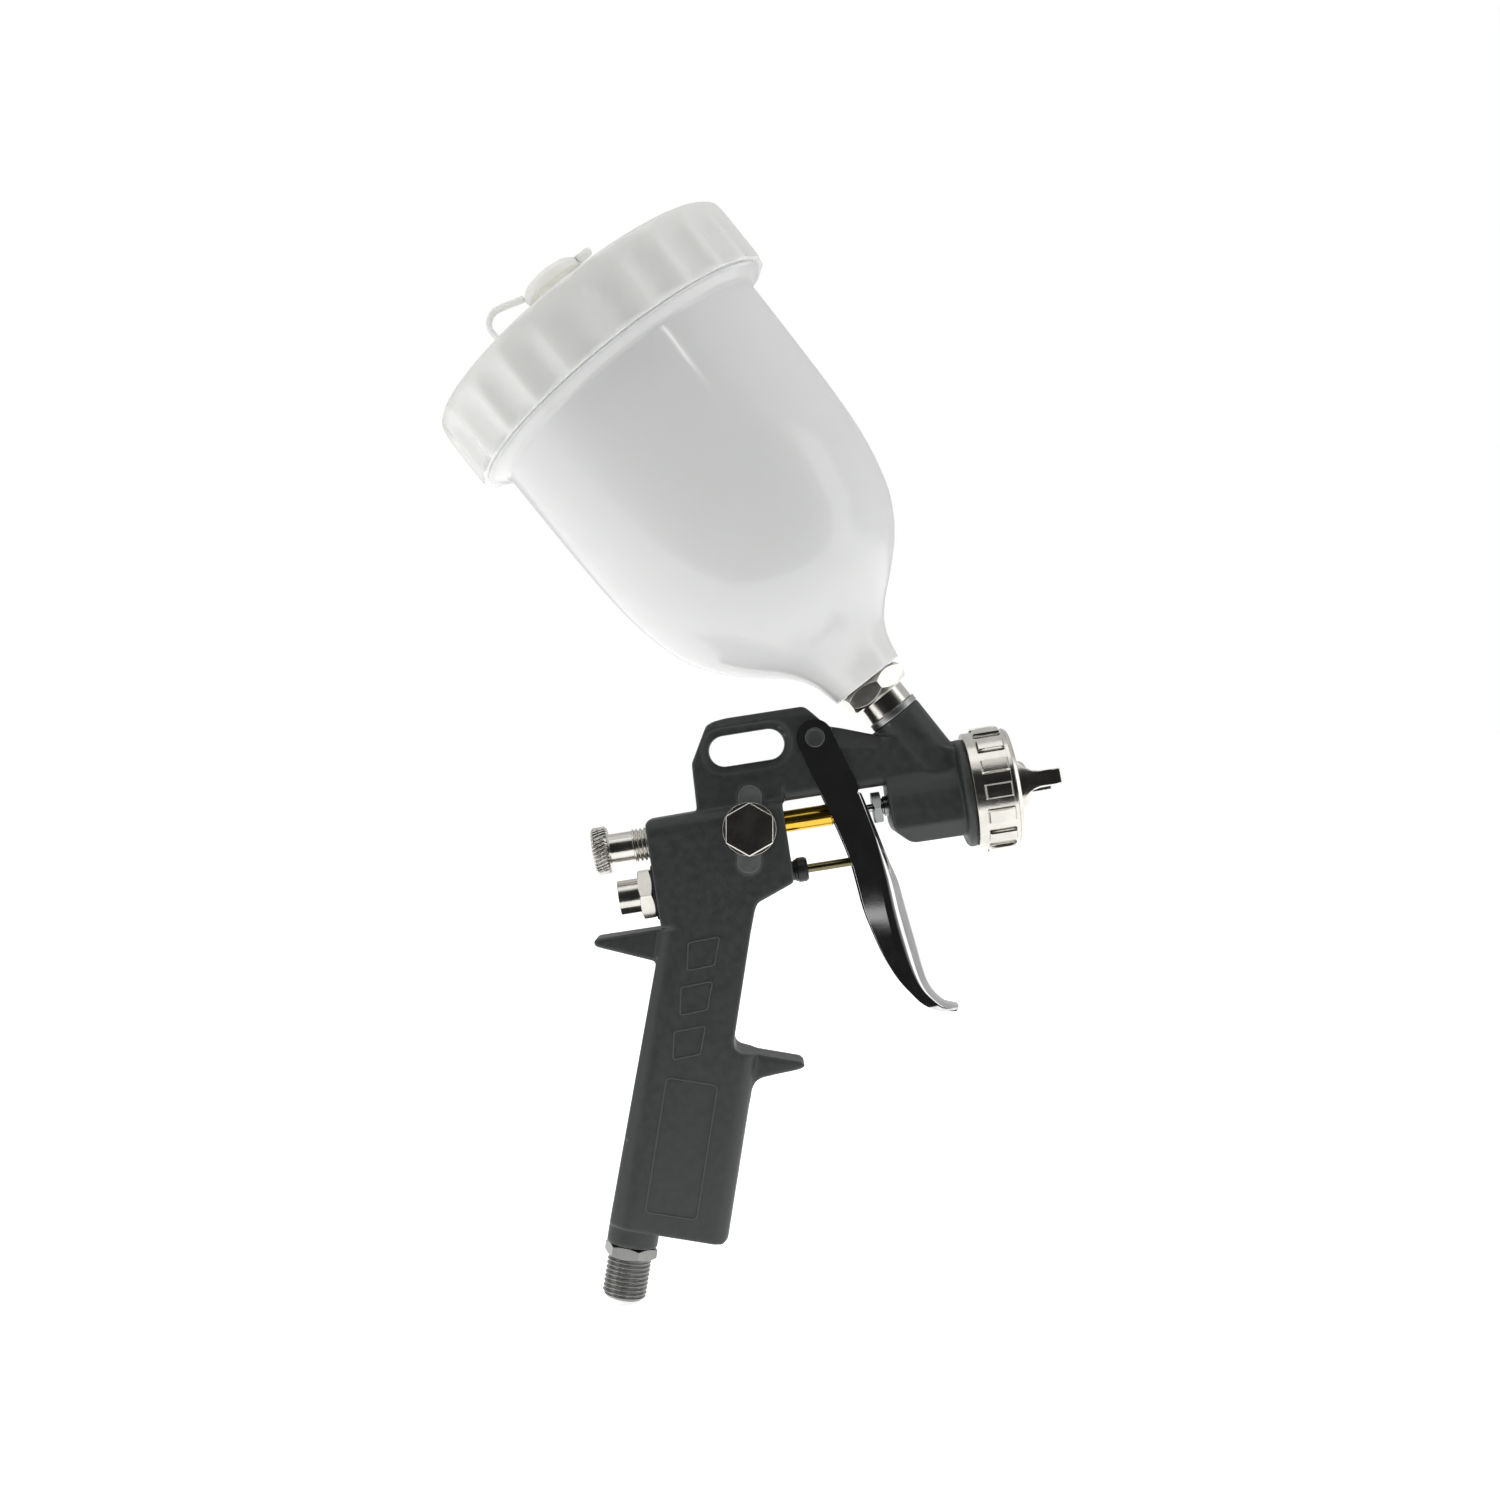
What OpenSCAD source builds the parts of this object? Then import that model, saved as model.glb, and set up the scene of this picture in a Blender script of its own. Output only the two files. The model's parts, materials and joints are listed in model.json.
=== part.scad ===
// Gravity-feed spray gun with a 600 cc cup.
// Row frame: origin on the air inlet thread, +X the way it sprays, +Z up, +Y to the gun's left.
// Most modules are drawn about the datum, where the fan valve's cross axis meets the needle axis.

/* [Size] */
// Height of the needle axis above the middle of the inlet thread
needle_up = 127; // [115:1:140]
// How far the fan valve's cross axis is ahead of the inlet thread
cross_ahead = 57.3; // [50:0.1:65]
// Rake of the handle from upright, degrees
rake = 18; // [12:1:20]
// Tilt of the cup towards the back, degrees
cup_tilt = 29.5; // [25:0.5:33]

/* [Body] */
// Width of the block and of the handle
body_w = 23; // [20:1:28]
// Width of the arm that carries the trigger
arm_w = 14; // [12:0.5:16]
// Width of the head behind the air cap
head_w = 24; // [22:1:28]
// Thickness of the two finger stops
hook_w = 15; // [10:1:20]

/* [Inlet] */
// Outside diameter of the 1/4 inch pipe thread
inlet_d = 13.157; // [9.73:0.001:13.157]
// Length of the inlet thread
inlet_l = 12.6; // [9:0.1:16]
// Width across flats of the inlet hexagon
inlet_af = 14; // [12:0.5:19]

/* [Trigger] */
// Sheet thickness of the trigger
sheet = 1.5; // [1:0.1:2]
// Distance between the trigger's cheeks
cheek_gap = 14.8; // [14.6:0.1:17]
// Radius of the eye round the trigger pin
eye_r = 5.4; // [4.5:0.1:7]
// Radius of the trigger pin's shank
pin_r = 2; // [1.5:0.1:2.4]
// Radius of the trigger pin's head
pin_head_r = 2.9; // [2.6:0.1:4]

/* [Needle and valves] */
// Radius of the fluid needle
needle_r = 1.25; // [1:0.05:1.4]
// Radius of the brass sleeve that the trigger pushes
sleeve_r = 3.25; // [3:0.05:3.6]
// Radius of the air valve's stem
stem_r = 1.3; // [1:0.05:1.6]
// Distance of the air valve's axis below the needle
valve_drop = 14.9; // [13:0.1:17]
// Radial clearance of every running fit
run = 0.05; // [0.01:0.01:0.1]

/* [Fluid knob] */
// Radius of the knurled head
knob_r = 7.1; // [6:0.1:8.5]
// Number of flutes that make the knurl
knob_flutes = 48; // [24:2:60]

/* [Cup] */
// Outer radius of the cup's wall near its rim
cup_r = 46.2; // [40:0.1:50]
// Wall of the cup
cup_wall = 2; // [1.5:0.1:3]
// Length of the cup from its lower end to the lid's skirt
cup_h = 117; // [100:1:130]
// Outer radius of the lid
lid_r = 53.5; // [48:0.1:60]
// Height of the lid
lid_h = 21.5; // [17:0.5:30]
// Number of flutes round the lid
lid_flutes = 24; // [12:1:40]

/* [Front] */
// Radius of the retaining ring without its pads
ring_r = 17.7; // [16:0.1:20]
// Number of pads round the retaining ring
ring_pads = 15; // [6:1:20]
// How far the air cap's horns turn from level, degrees
horn_roll = -6; // [-20:1:45]

/* [Hidden] */
$fn = 64;
eps = 0.01;

// Handle frame: t is the distance ahead of the datum across the rake, s the distance down it
handle_rear = -21.7;
handle_front = 5.2;
grip_front = 12.8;
handle_foot = 122.6;
boss_r = 7.65;
inlet_hex_h = 3.4;
inlet_t = needle_up * sin(rake) - cross_ahead * cos(rake);
boss_rear = inlet_t - boss_r;
thread_top = needle_up * cos(rake) + cross_ahead * sin(rake) - inlet_l / 2;
boss_foot = thread_top - inlet_hex_h;

// Trigger pivot, and the distance from it to the two push points
pivot_x = 23.3;
pivot_z = 23.6;

// Cup axis: the lower end of the cup, in the plane of symmetry
cup_x = 41.85;
cup_z = 38.1;

// Length of the stem and the needle
stem_tip = 36.4;
needle_tip = 81.7;
block_rear = -30.3;
block_front = 10.7;
duct_z = 10.4;
head_front = 66.5;
// The parts on the nose are drawn for a head that ends at 68
nose_shift = head_front - 68;

module at_datum() { translate([cross_ahead, 0, needle_up]) children(); }
module in_handle() { at_datum() rotate([0, rake, 0]) children(); }
module on_cup_axis() { at_datum() translate([cup_x, 0, cup_z]) rotate([0, -cup_tilt, 0]) children(); }
module along_x(x) { at_datum() translate([x, 0, 0]) rotate([0, 90, 0]) children(); }
module along_valve(x) { translate([0, 0, -valve_drop]) along_x(x) children(); }

// Rod along +X between two stations, about the needle axis or the air valve's axis
module on_nose() { translate([nose_shift, 0, 0]) children(); }
module rod(x0, x1, r) { along_x(x0) cylinder(h = x1 - x0, r = r); }
module valve_rod(x0, x1, r) { along_valve(x0) cylinder(h = x1 - x0, r = r); }
// Cone along +X
module taper(x0, x1, r0, r1) { along_x(x0) cylinder(h = x1 - x0, r1 = r0, r2 = r1); }
// Rod along +Y about the cross axis
module cross_rod(y0, y1, r) {
    at_datum() translate([0, y0, 0]) rotate([-90, 0, 0]) cylinder(h = y1 - y0, r = r);
}
// Side profile in X and Z, w wide about the plane of symmetry
module side(w) { at_datum() rotate([90, 0, 0]) linear_extrude(height = w, center = true) children(); }
// Side profile in the handle frame, in t and -s
module handle_side(w) { in_handle() rotate([90, 0, 0]) linear_extrude(height = w, center = true) children(); }
// Hexagon across flats, with its two end faces turned to a shallow cone
module hex_bar(af, h) {
    corner = af / cos(30) / 2;
    intersection() {
        cylinder(h = h, r = corner, $fn = 6);
        union() {
            cylinder(h = 0.8, r1 = corner - 0.7, r2 = corner + 0.1);
            translate([0, 0, 0.8 - eps]) cylinder(h = h - 1.6 + 2 * eps, r = corner + 0.1);
            translate([0, 0, h - 0.8]) cylinder(h = 0.8, r1 = corner + 0.1, r2 = corner - 0.7);
        }
    }
}
// Rectangle with round corners, r0 at its x0 end and r1 at its x1 end, w wide
module round_rect(x0, x1, w, r0, r1) {
    translate([x0, r0 - w / 2]) square([r0 + eps, w - 2 * r0]);
    translate([x0 + r0, -w / 2]) square([x1 - x0 - r0 - r1, w]);
    translate([x1 - r1 - eps, r1 - w / 2]) square([r1 + eps, w - 2 * r1]);
    for (y = [-1, 1]) {
        translate([x0 + r0, y * (w / 2 - r0)]) circle(r = r0);
        translate([x1 - r1, y * (w / 2 - r1)]) circle(r = r1);
    }
}

// ---------- body ----------
handle_profile = [
    [-24, -14], [handle_rear + 0.7, -33.6], [-38.7, -39.2], [-39.9, -39.6], [-40.4, -40.5],
    [-40.1, -41.4], [-39.1, -41.9],
    [handle_rear + 0.6, -43.4], [boss_rear + 0.15, -handle_foot], [grip_front - 1.4, -handle_foot],
    [grip_front, -handle_foot + 1.6], [grip_front + 0.1, -76.2], [13.6, -73.9], [15.4, -72.4],
    [26.4, -68.1], [27.4, -67], [26.1, -66], [7.8, -65.8], [6, -64.8], [handle_front + 0.1, -62.6],
    [handle_front, -30],
    [handle_front + 0.2, -22.7], [6, -14]
];
block_profile = [
    [block_rear, -24.8], [block_rear, 6], [-29.3, 7.1], [-14.6, 7.3], [-14, 21.5], [-8, 32.1],
    [-5.6, 33], [-1.9, 33.4], [21.1, 33.3], [22.3, 32.6], [27.6, 26.4], [31.5, 25.2], [44, 20.6],
    [44, 6.2], [block_front, 6.2], [block_front, -16], [10.3, -17.8], [-1, -22], [-5, -29]
];
head_profile = [
    [43.2, 20.9], [42, 18], [42, 6.2], [42, -5.4], [42.6, -7.6], [46.2, -11.2], [47.8, -11.9],
    [65.5, -12.1], [65.5, 12.6], [62.6, 14.4]
];

// Round shoulder of the block: [in from its side, height]
block_shoulder = [[2, -40], [0, -38], [0, 2.4], [0.4, 4.4], [1.4, 6.1], [3, 7.3]];

module handle() {
    intersection() {
        handle_side(body_w + 2) polygon(handle_profile);
        union() {
            // the grip's own section, and the thinner finger stops fore and aft of it
            in_handle() translate([0, 0, -handle_foot - 1]) linear_extrude(height = handle_foot - 10)
                round_rect(boss_rear - 0.2, grip_front, body_w, 8.2, 5);
            handle_side(hook_w) polygon([[-42, -30], [28, -30], [28, -80], [-42, -80]]);
        }
    }
    in_handle() translate([inlet_t, 0, -boss_foot]) cylinder(h = boss_foot - handle_foot + 0.6, r = boss_r);
}
module block() {
    half = body_w / 2;
    arm_half = arm_w / 2;
    intersection() {
        side(body_w + 2) polygon(block_profile);
        union() {
            // section of the block, narrowing to the hanging loop above it
            at_datum() translate([-40, 0, 0]) rotate([90, 0, 90]) linear_extrude(height = 51.6)
                polygon(concat(
                    [for (p = block_shoulder) [p[0] - half, p[1]]], [[-arm_half, 14], [-arm_half, 30.6]],
                    [[2.4 - arm_half, 34], [arm_half - 2.4, 34]], [[arm_half, 30.6], [arm_half, 14]],
                    [for (k = [len(block_shoulder) - 1:-1:0])
                        [half - block_shoulder[k][0], block_shoulder[k][1]]]
                ));
            // section of the arm: flat cheeks, a roof above and rounded edges below
            at_datum() translate([-2, 0, 0]) rotate([90, 0, 90]) linear_extrude(height = 50) {
                polygon([
                    [-arm_half, 9.4], [-arm_half, 30.6], [-arm_half + 2.4, 34], [arm_half - 2.4, 34],
                    [arm_half, 30.6], [arm_half, 9.4], [arm_half - 3.2, 6.2], [3.2 - arm_half, 6.2]
                ]);
                for (y = [-1, 1]) translate([y * (arm_half - 3.2), 9.4]) circle(r = 3.2);
            }
        }
    }
}
module head() {
    half = head_w / 2;
    top = arm_w / 2 - 0.1;
    intersection() {
        side(head_w + 2) polygon(head_profile);
        at_datum() translate([40, 0, 0]) rotate([90, 0, 90]) linear_extrude(height = 30)
            polygon([
                [-half + 4.6, -12.2], [-half, -7], [-half, -1.5], [-half + 0.9, 2.4], [-half + 2.6, 5.6],
                [-top, 8.8], [-top, 22], [top, 22],
                [top, 8.8], [half - 2.6, 5.6], [half - 0.9, 2.4], [half, -1.5], [half, -7], [half - 4.6, -12.2]
            ]);
    }
    on_nose() {
        taper(65.2, 66.1, 15, 16.2);
        rod(65.9 - eps, 68, 16.2);
        rod(66.5, 76, 15.3);
    }
    on_cup_axis() translate([0, 0, -42]) cylinder(h = 28.5, r = 8);
}
// Raised pad under the side plugs, and the three raised outlines on the grip
module pads() {
    at_datum() rotate([90, 0, 0]) rotate([0, 0, -10])
        linear_extrude(height = body_w + 1.6, center = true) {
            square([7, 19], center = true);
            for (z = [-9.5, 9.5]) translate([0, z]) circle(r = 3.5);
        }
}
module frame_2d(w, h, line) {
    difference() {
        polygon([[0, 0], [w, 0], [w - 0.31 * h, -h], [-0.31 * h, -h]]);
        polygon([
            [line, -line], [w - line * 1.3, -line], [w - 0.31 * h + line * 0.7, line - h],
            [line - 0.31 * h + line * 0.3, line - h]
        ]);
    }
}
module grip_marks() {
    side(body_w + 0.5) {
        for (n = [0:2]) translate([-23.1 - 4.1 * n, -30.3 - 12.6 * n]) frame_2d(9, 8, 0.5);
    }
}
// Hanging slot
module slot_cut() {
    side(60) hull() for (x = [-3.9, 9.7]) translate([x, 23.7]) circle(r = 4.6);
    // both mouths flare
    for (y = [-90, 90]) hull() for (x = [-3.9, 9.7])
        at_datum() translate([x, 0, 23.7]) rotate([y, 0, 0]) translate([0, 0, arm_w / 2 - 2.6])
            cylinder(h = 3.6, r1 = 4.6 - eps, r2 = 8.2);
}
// The arm's roof slopes down on both sides ahead of the trigger
module roof_cut() {
    for (y = [0, 1]) mirror([0, y, 0]) hull() {
        at_datum() translate([28.8, 0, 0]) rotate([90, 0, 90]) linear_extrude(height = eps)
            polygon([[-arm_w / 2 - 0.2, 19.2], [-2.4, 27], [-arm_w / 2 - 0.2, 27]]);
        at_datum() translate([50, 0, 0]) rotate([90, 0, 90]) linear_extrude(height = eps)
            polygon([[-arm_w / 2 - 0.2, 16.4], [-3.4, 20.6], [-arm_w / 2 - 0.2, 20.6]]);
    }
}
// Needle bore from the back: spring chamber, sleeve guide, then packing seat and fluid passage
module needle_bore() {
    rod(block_rear - 1, -8, 5 + run);
    rod(-10, block_front + 1, sleeve_r + run);
    rod(41, 50, 3 + run);
    rod(49, 61, 2.6);
    on_nose() {
        rod(60, 71, 5.5 + run);
        rod(70.4, 77, 10);
    }
}
// Air valve bore: chamber, seat and stem guide, with a flat round the gland's hole
module valve_bore() {
    valve_rod(block_rear - 1, -6, 5.6);
    valve_rod(-8, 2, 2.7);
    valve_rod(1, 16, 2.9 + run);
    valve_rod(block_front + 2, 20, 3.9);
}
// Air duct up the handle to the valve chamber
module handle_duct() {
    in_handle() translate([inlet_t, 0, -boss_foot - 1]) cylinder(h = 15, r = 5.6 + run);
    in_handle() translate([inlet_t, 0, -boss_foot + 13]) cylinder(h = 95, r = 3.4);
}
// Fan valve's two side ports, fed from below, and the ducts from them through the arm to the head
module fan_ducts() {
    at_datum() translate([-2, 0, -valve_drop]) rotate([90, 0, 0]) cylinder(h = 19, r = 1.7, center = true);
    for (y = [-1, 1]) {
        cross_rod(y > 0 ? 5.4 : -16, y > 0 ? 16 : -5.4, 4.6 + run);
        at_datum() translate([-2, y * 7, -valve_drop]) cylinder(h = 14, r = 1.5);
        at_datum() translate([2.6, y * 6.2, 0]) cylinder(h = duct_z, r = 1.2);
        at_datum() translate([2, y * 4.9, duct_z]) rotate([0, 90, 0]) cylinder(h = 74, r = 1.3);
    }
}
// Threaded socket for the cup, and the paint passage down to the fluid chamber
module neck_bore() {
    on_cup_axis() translate([0, 0, -26]) cylinder(h = 30, r = 6 + run);
    on_cup_axis() translate([0, 0, -43]) cylinder(h = 20, r = 2.8);
}
module pivot_hole(r) {
    at_datum() translate([pivot_x, 0, pivot_z]) rotate([90, 0, 0]) cylinder(h = 40, r = r, center = true);
}
module gun_body() {
    color("#323434") difference() {
        union() {
            handle();
            difference() {
                block();
                roof_cut();
            }
            head();
            pads();
            grip_marks();
        }
        slot_cut();
        needle_bore();
        valve_bore();
        handle_duct();
        fan_ducts();
        neck_bore();
        pivot_hole(pin_r + run);
    }
}

// ---------- air side ----------
module inlet_fitting() {
    color("#a9a9a6") in_handle() translate([inlet_t, 0, -thread_top]) difference() {
        union() {
            translate([0, 0, -eps]) hex_bar(inlet_af, inlet_hex_h);
            translate([0, 0, inlet_hex_h]) cylinder(h = 13, r = 5.6);
            translate([0, 0, -1]) cylinder(h = 1.2, r = inlet_d / 2 - 1);
            translate([0, 0, 1 - inlet_l]) cylinder(h = inlet_l - 2, r = inlet_d / 2);
            translate([0, 0, -inlet_l]) cylinder(h = 1 + eps, r1 = inlet_d / 2 - 1.2, r2 = inlet_d / 2);
        }
        translate([0, 0, -inlet_l - 1]) cylinder(h = 40, r = 4);
    }
}
module air_valve_cap() {
    color("#c9c7bf") difference() {
        union() {
            along_valve(-41.8) cylinder(h = 0.8, r1 = 4.4, r2 = 5.15);
            valve_rod(-41 - eps, -34.5, 5.15);
            along_valve(-34.6) hex_bar(14, 3.3);
            valve_rod(-31.4, -26, 5.55);
        }
        valve_rod(-38, -20, 3.9);
    }
}
module air_valve_gasket() {
    color("#141414") difference() {
        valve_rod(-31.25, block_rear - eps, 8.2);
        valve_rod(-34, -29, 5.65);
    }
}
// Coil spring along +X: n turns of round wire between two stations
module coil(x0, x1, r, wire, turns) {
    sides = 8;
    rings = turns * 14;
    pts = [
        for (k = [0:rings]) let (a = 360 * turns * k / rings, x = x0 + (x1 - x0) * k / rings)
        for (j = [0:sides - 1]) let (b = 360 * j / sides, q = r + wire * cos(b))
        [x + wire * sin(b), q * cos(a), q * sin(a)]
    ];
    skin = [
        for (k = [0:rings - 1], j = [0:sides - 1]) let (m = (j + 1) % sides)
        [k * sides + j, (k + 1) * sides + j, (k + 1) * sides + m, k * sides + m]
    ];
    ends = [[for (j = [0:sides - 1]) j], [for (j = [sides - 1:-1:0]) rings * sides + j]];
    at_datum() polyhedron(points = pts, faces = concat(skin, ends));
}
module air_valve_spring() {
    color("#b8b8b8") translate([0, 0, -valve_drop]) coil(-37.2, -14.1, 2.9, 0.4, 9);
}
module valve_poppet() {
    color("#c2a24a") difference() {
        union() {
            valve_rod(-13.6, -8.4, 4.6);
            valve_rod(-17, -13.6 + eps, 2.2);
        }
        valve_rod(-10.6, -8, stem_r);
    }
}
module valve_seal() {
    color("#1a1a1a") difference() {
        valve_rod(-8.4, -6.2, 4.6);
        valve_rod(-9, -6, stem_r);
    }
}
module valve_stem() {
    color("#8f8a7c") {
        valve_rod(-10.6, stem_tip - 1.4, stem_r);
        valve_rod(stem_tip - 1.4 - eps, stem_tip, 2.4);
    }
}
module stem_packing() {
    color("#e8e6df") difference() {
        valve_rod(1.2, 4.6, 2.9);
        valve_rod(1, 5, stem_r + run);
    }
}
module stem_gland() {
    color("#191a1a") difference() {
        union() {
            valve_rod(4.7, 12.8, 2.9);
            along_valve(12.7) cylinder(h = 1.9, r = 3.7);
            along_valve(14.5) cylinder(h = 0.9, r1 = 3.7, r2 = 3);
        }
        valve_rod(4, 16, stem_r + run);
    }
}

// ---------- needle ----------
module fluid_needle() {
    color("#c8c8c6") {
        rod(-35, 72, needle_r);
        taper(72 - eps, needle_tip - 4, needle_r, 0.9);
        taper(needle_tip - 4 - eps, needle_tip, 0.9, 0.25);
    }
}
module needle_sleeve() {
    color("#c9a227") difference() {
        union() {
            rod(-9.4, -8.2, 4.6);
            rod(-8.2 - eps, 24.7, sleeve_r);
            taper(24.7 - eps, 25.4, sleeve_r, 2.5);
            rod(25.4 - eps, 33.1, 2.5);
        }
        rod(-12, 35, needle_r);
    }
}
module sleeve_nut() {
    color("#b9b8b2") difference() {
        along_x(-12.5) hex_bar(6, 3);
        rod(-13, -9, needle_r);
    }
}
module needle_spring() { color("#b8b8b8") coil(-20.9, -9.9, 4.1, 0.42, 6); }
module spring_washer() {
    color("#9f9f9d") difference() {
        rod(-22.4, -21.4, 4.6);
        rod(-23, -21, 1.6);
    }
}
module fluid_knob() {
    color("#cfcdc6") difference() {
        union() {
            difference() {
                union() {
                    taper(-47.2, -46.6, knob_r - 0.6, knob_r);
                    rod(-46.6 - eps, -43, knob_r);
                    taper(-43 - eps, -42.4, knob_r, knob_r - 0.6);
                }
                for (k = [0:knob_flutes - 1]) rotate_x(360 * k / knob_flutes)
                    at_datum() translate([-48, 0, knob_r + 0.12]) rotate([0, 90, 0])
                        cylinder(h = 6, r = 0.34, $fn = 4);
            }
            rod(-42.5, -34.8, 4.5);
            rod(-34.8 - eps, -22.5, 5);
        }
        rod(-44, -22, needle_r + 0.35);
    }
}
module rotate_x(a) {
    at_datum() rotate([a, 0, 0]) translate([-cross_ahead, 0, -needle_up]) children();
}
module needle_packing() {
    color("#e8e6df") difference() {
        rod(46.4, 49.9, 3);
        rod(46, 50.5, needle_r + run);
    }
}
module needle_packing_nut() {
    color("#6f716f") difference() {
        union() {
            along_x(37.3) hex_bar(9, 2.7);
            rod(39.9, 46.2, 3);
        }
        rod(36, 47, needle_r + run);
    }
}

// ---------- fan valve ----------
side_face = body_w / 2 + 0.8;
module at_right() { at_datum() rotate([90, 0, 0]) children(); }
module at_left() { at_datum() rotate([-90, 0, 0]) children(); }
module fan_plug() {
    color("#b5b3ad") at_right() {
        translate([0, 0, side_face + 0.9]) rotate([0, 0, 81]) hex_bar(14, 4.2);
        translate([0, 0, side_face + 0.5]) cylinder(h = 0.6, r = 7.9);
        translate([0, 0, 6]) cylinder(h = side_face - 5.4, r = 4.6);
    }
}
module fan_plug_washer() {
    color("#2a2a2a") at_right() difference() {
        translate([0, 0, side_face + eps]) cylinder(h = 0.48, r = 7.6);
        cylinder(h = 40, r = 4.65);
    }
}
module fan_bush() {
    color("#c9c7bf") at_left() difference() {
        union() {
            translate([0, 0, 6]) cylinder(h = side_face - 5.9, r = 4.6);
            translate([0, 0, side_face + eps]) rotate([0, 0, 30]) hex_bar(14, 4);
            translate([0, 0, side_face + 3.9]) cylinder(h = 3, r = 5);
        }
        cylinder(h = 40, r = 3.1);
    }
}
module fan_o_ring() {
    color("#141414") at_left() translate([0, 0, side_face + 2]) rotate_extrude()
        translate([2.45, 0]) circle(r = 0.6);
}
module fan_valve_needle() {
    color("#c8c8c6") at_left() {
        translate([0, 0, 6.4]) cylinder(h = 2.4, r1 = 0.4, r2 = 1.8);
        translate([0, 0, 8.8 - eps]) cylinder(h = side_face + 3.4, r = 1.8);
    }
}
module fan_knob() {
    color("#cfcdc6") at_left() difference() {
        union() {
            difference() {
                union() {
                    translate([0, 0, side_face + 7.2]) cylinder(h = 0.6, r1 = knob_r - 0.6, r2 = knob_r);
                    translate([0, 0, side_face + 7.8 - eps]) cylinder(h = 8, r = knob_r);
                    translate([0, 0, side_face + 15.8 - 2 * eps]) cylinder(h = 0.8, r1 = knob_r, r2 = knob_r - 0.8);
                }
                for (k = [0:knob_flutes - 1]) rotate([0, 0, 360 * k / knob_flutes])
                    translate([knob_r + 0.12, 0, side_face + 7]) cylinder(h = 10, r = 0.34, $fn = 4);
            }
        }
        translate([0, 0, 8]) cylinder(h = side_face + 4.2 - eps, r = 1.85);
    }
}

// ---------- trigger ----------
// Flat cheek, seen from the side
cheek_front = [[28.6, 24.8], [34.4, 5.2], [37.5, -17.2], [37.5, -22], [37.9, -30.9], [39.4, -45.5], [43.7, -57.1]];
cheek_rear = [
    [45, -61.3], [39.8, -55.9], [35.3, -46.8], [31.4, -33.7], [29.7, -20.7], [28.9, -15.3], [22.8, 6.4],
    [18.1, 22.2]
];
front_edge = [
    [53.8, -61.9], [49.8, -60.4], [47.4, -57.4], [45.6, -53.6], [44.4, -44.2], [43.1, -33.6], [41.6, -22.6],
    [39.9, -17.4], [34.4, 5.2]
];
web_rear = [
    [32.8, 5.2], [35.8, -9], [38.3, -17.9], [40, -23], [41.6, -33.8], [42.9, -44.4], [44, -53.8],
    [46, -58.4], [49, -61.6], [51.5, -62.9], [53, -62.7]
];
module trigger() {
    half = cheek_gap / 2;
    color("#5b5d63") difference() {
        union() {
            for (y = [-half - sheet / 2, half + sheet / 2]) translate([0, y, 0]) {
                side(sheet) {
                    polygon(concat(cheek_front, cheek_rear));
                    translate([pivot_x, pivot_z]) circle(r = eye_r);
                }
            }
            side(cheek_gap + 2 * sheet) polygon(concat(front_edge, web_rear));
            side(cheek_gap + 2 * sheet) polygon([[43.7, -57.1], [45, -61.3], [49, -62.6], [52, -61.8], [47.4, -57.4]]);
            for (y = [-half - sheet / 2, half + sheet / 2]) translate([0, y, 0])
                side(sheet) polygon(concat(
                    [for (p = cheek_front) if (p[1] < 6) p], [for (n = [2:7]) front_edge[n]]));
        }
        // slot for the needle, down to the pad that the stem's head bears on
        at_datum() translate([36, 0, -6]) cube([14, 3.6, 24], center = true);
        at_datum() translate([pivot_x, 0, pivot_z]) rotate([90, 0, 0])
            cylinder(h = 40, r = pin_r + run, center = true);
    }
}
module at_pivot() { at_datum() translate([pivot_x, 0, pivot_z]) rotate([90, 0, 0]) children(); }
pin_face = cheek_gap / 2 + sheet + 0.1;
module trigger_pin() {
    color("#6a6c6c") at_pivot() difference() {
        union() {
            translate([0, 0, -pin_face - 1.8]) cylinder(h = 2 * pin_face + 1.8, r = pin_r);
            translate([0, 0, pin_face]) cylinder(h = 0.9, r = pin_head_r);
            translate([0, 0, pin_face + 0.9 - eps]) cylinder(h = 0.4, r1 = pin_head_r, r2 = pin_head_r - 0.5);
        }
        // groove for the circlip
        translate([0, 0, -pin_face - 0.95]) difference() {
            cylinder(h = 0.75, r = 4);
            translate([0, 0, -1]) cylinder(h = 3, r = pin_r - 0.5);
        }
    }
}
module pin_circlip() {
    color("#3a3a3c") at_pivot() translate([0, 0, -pin_face - 0.9]) difference() {
        cylinder(h = 0.65, r = 3.5);
        translate([0, 0, -1]) cylinder(h = 3, r = pin_r - 0.45);
        translate([-1.2, 0, -1]) cube([2.4, 5, 3]);
    }
}

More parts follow.
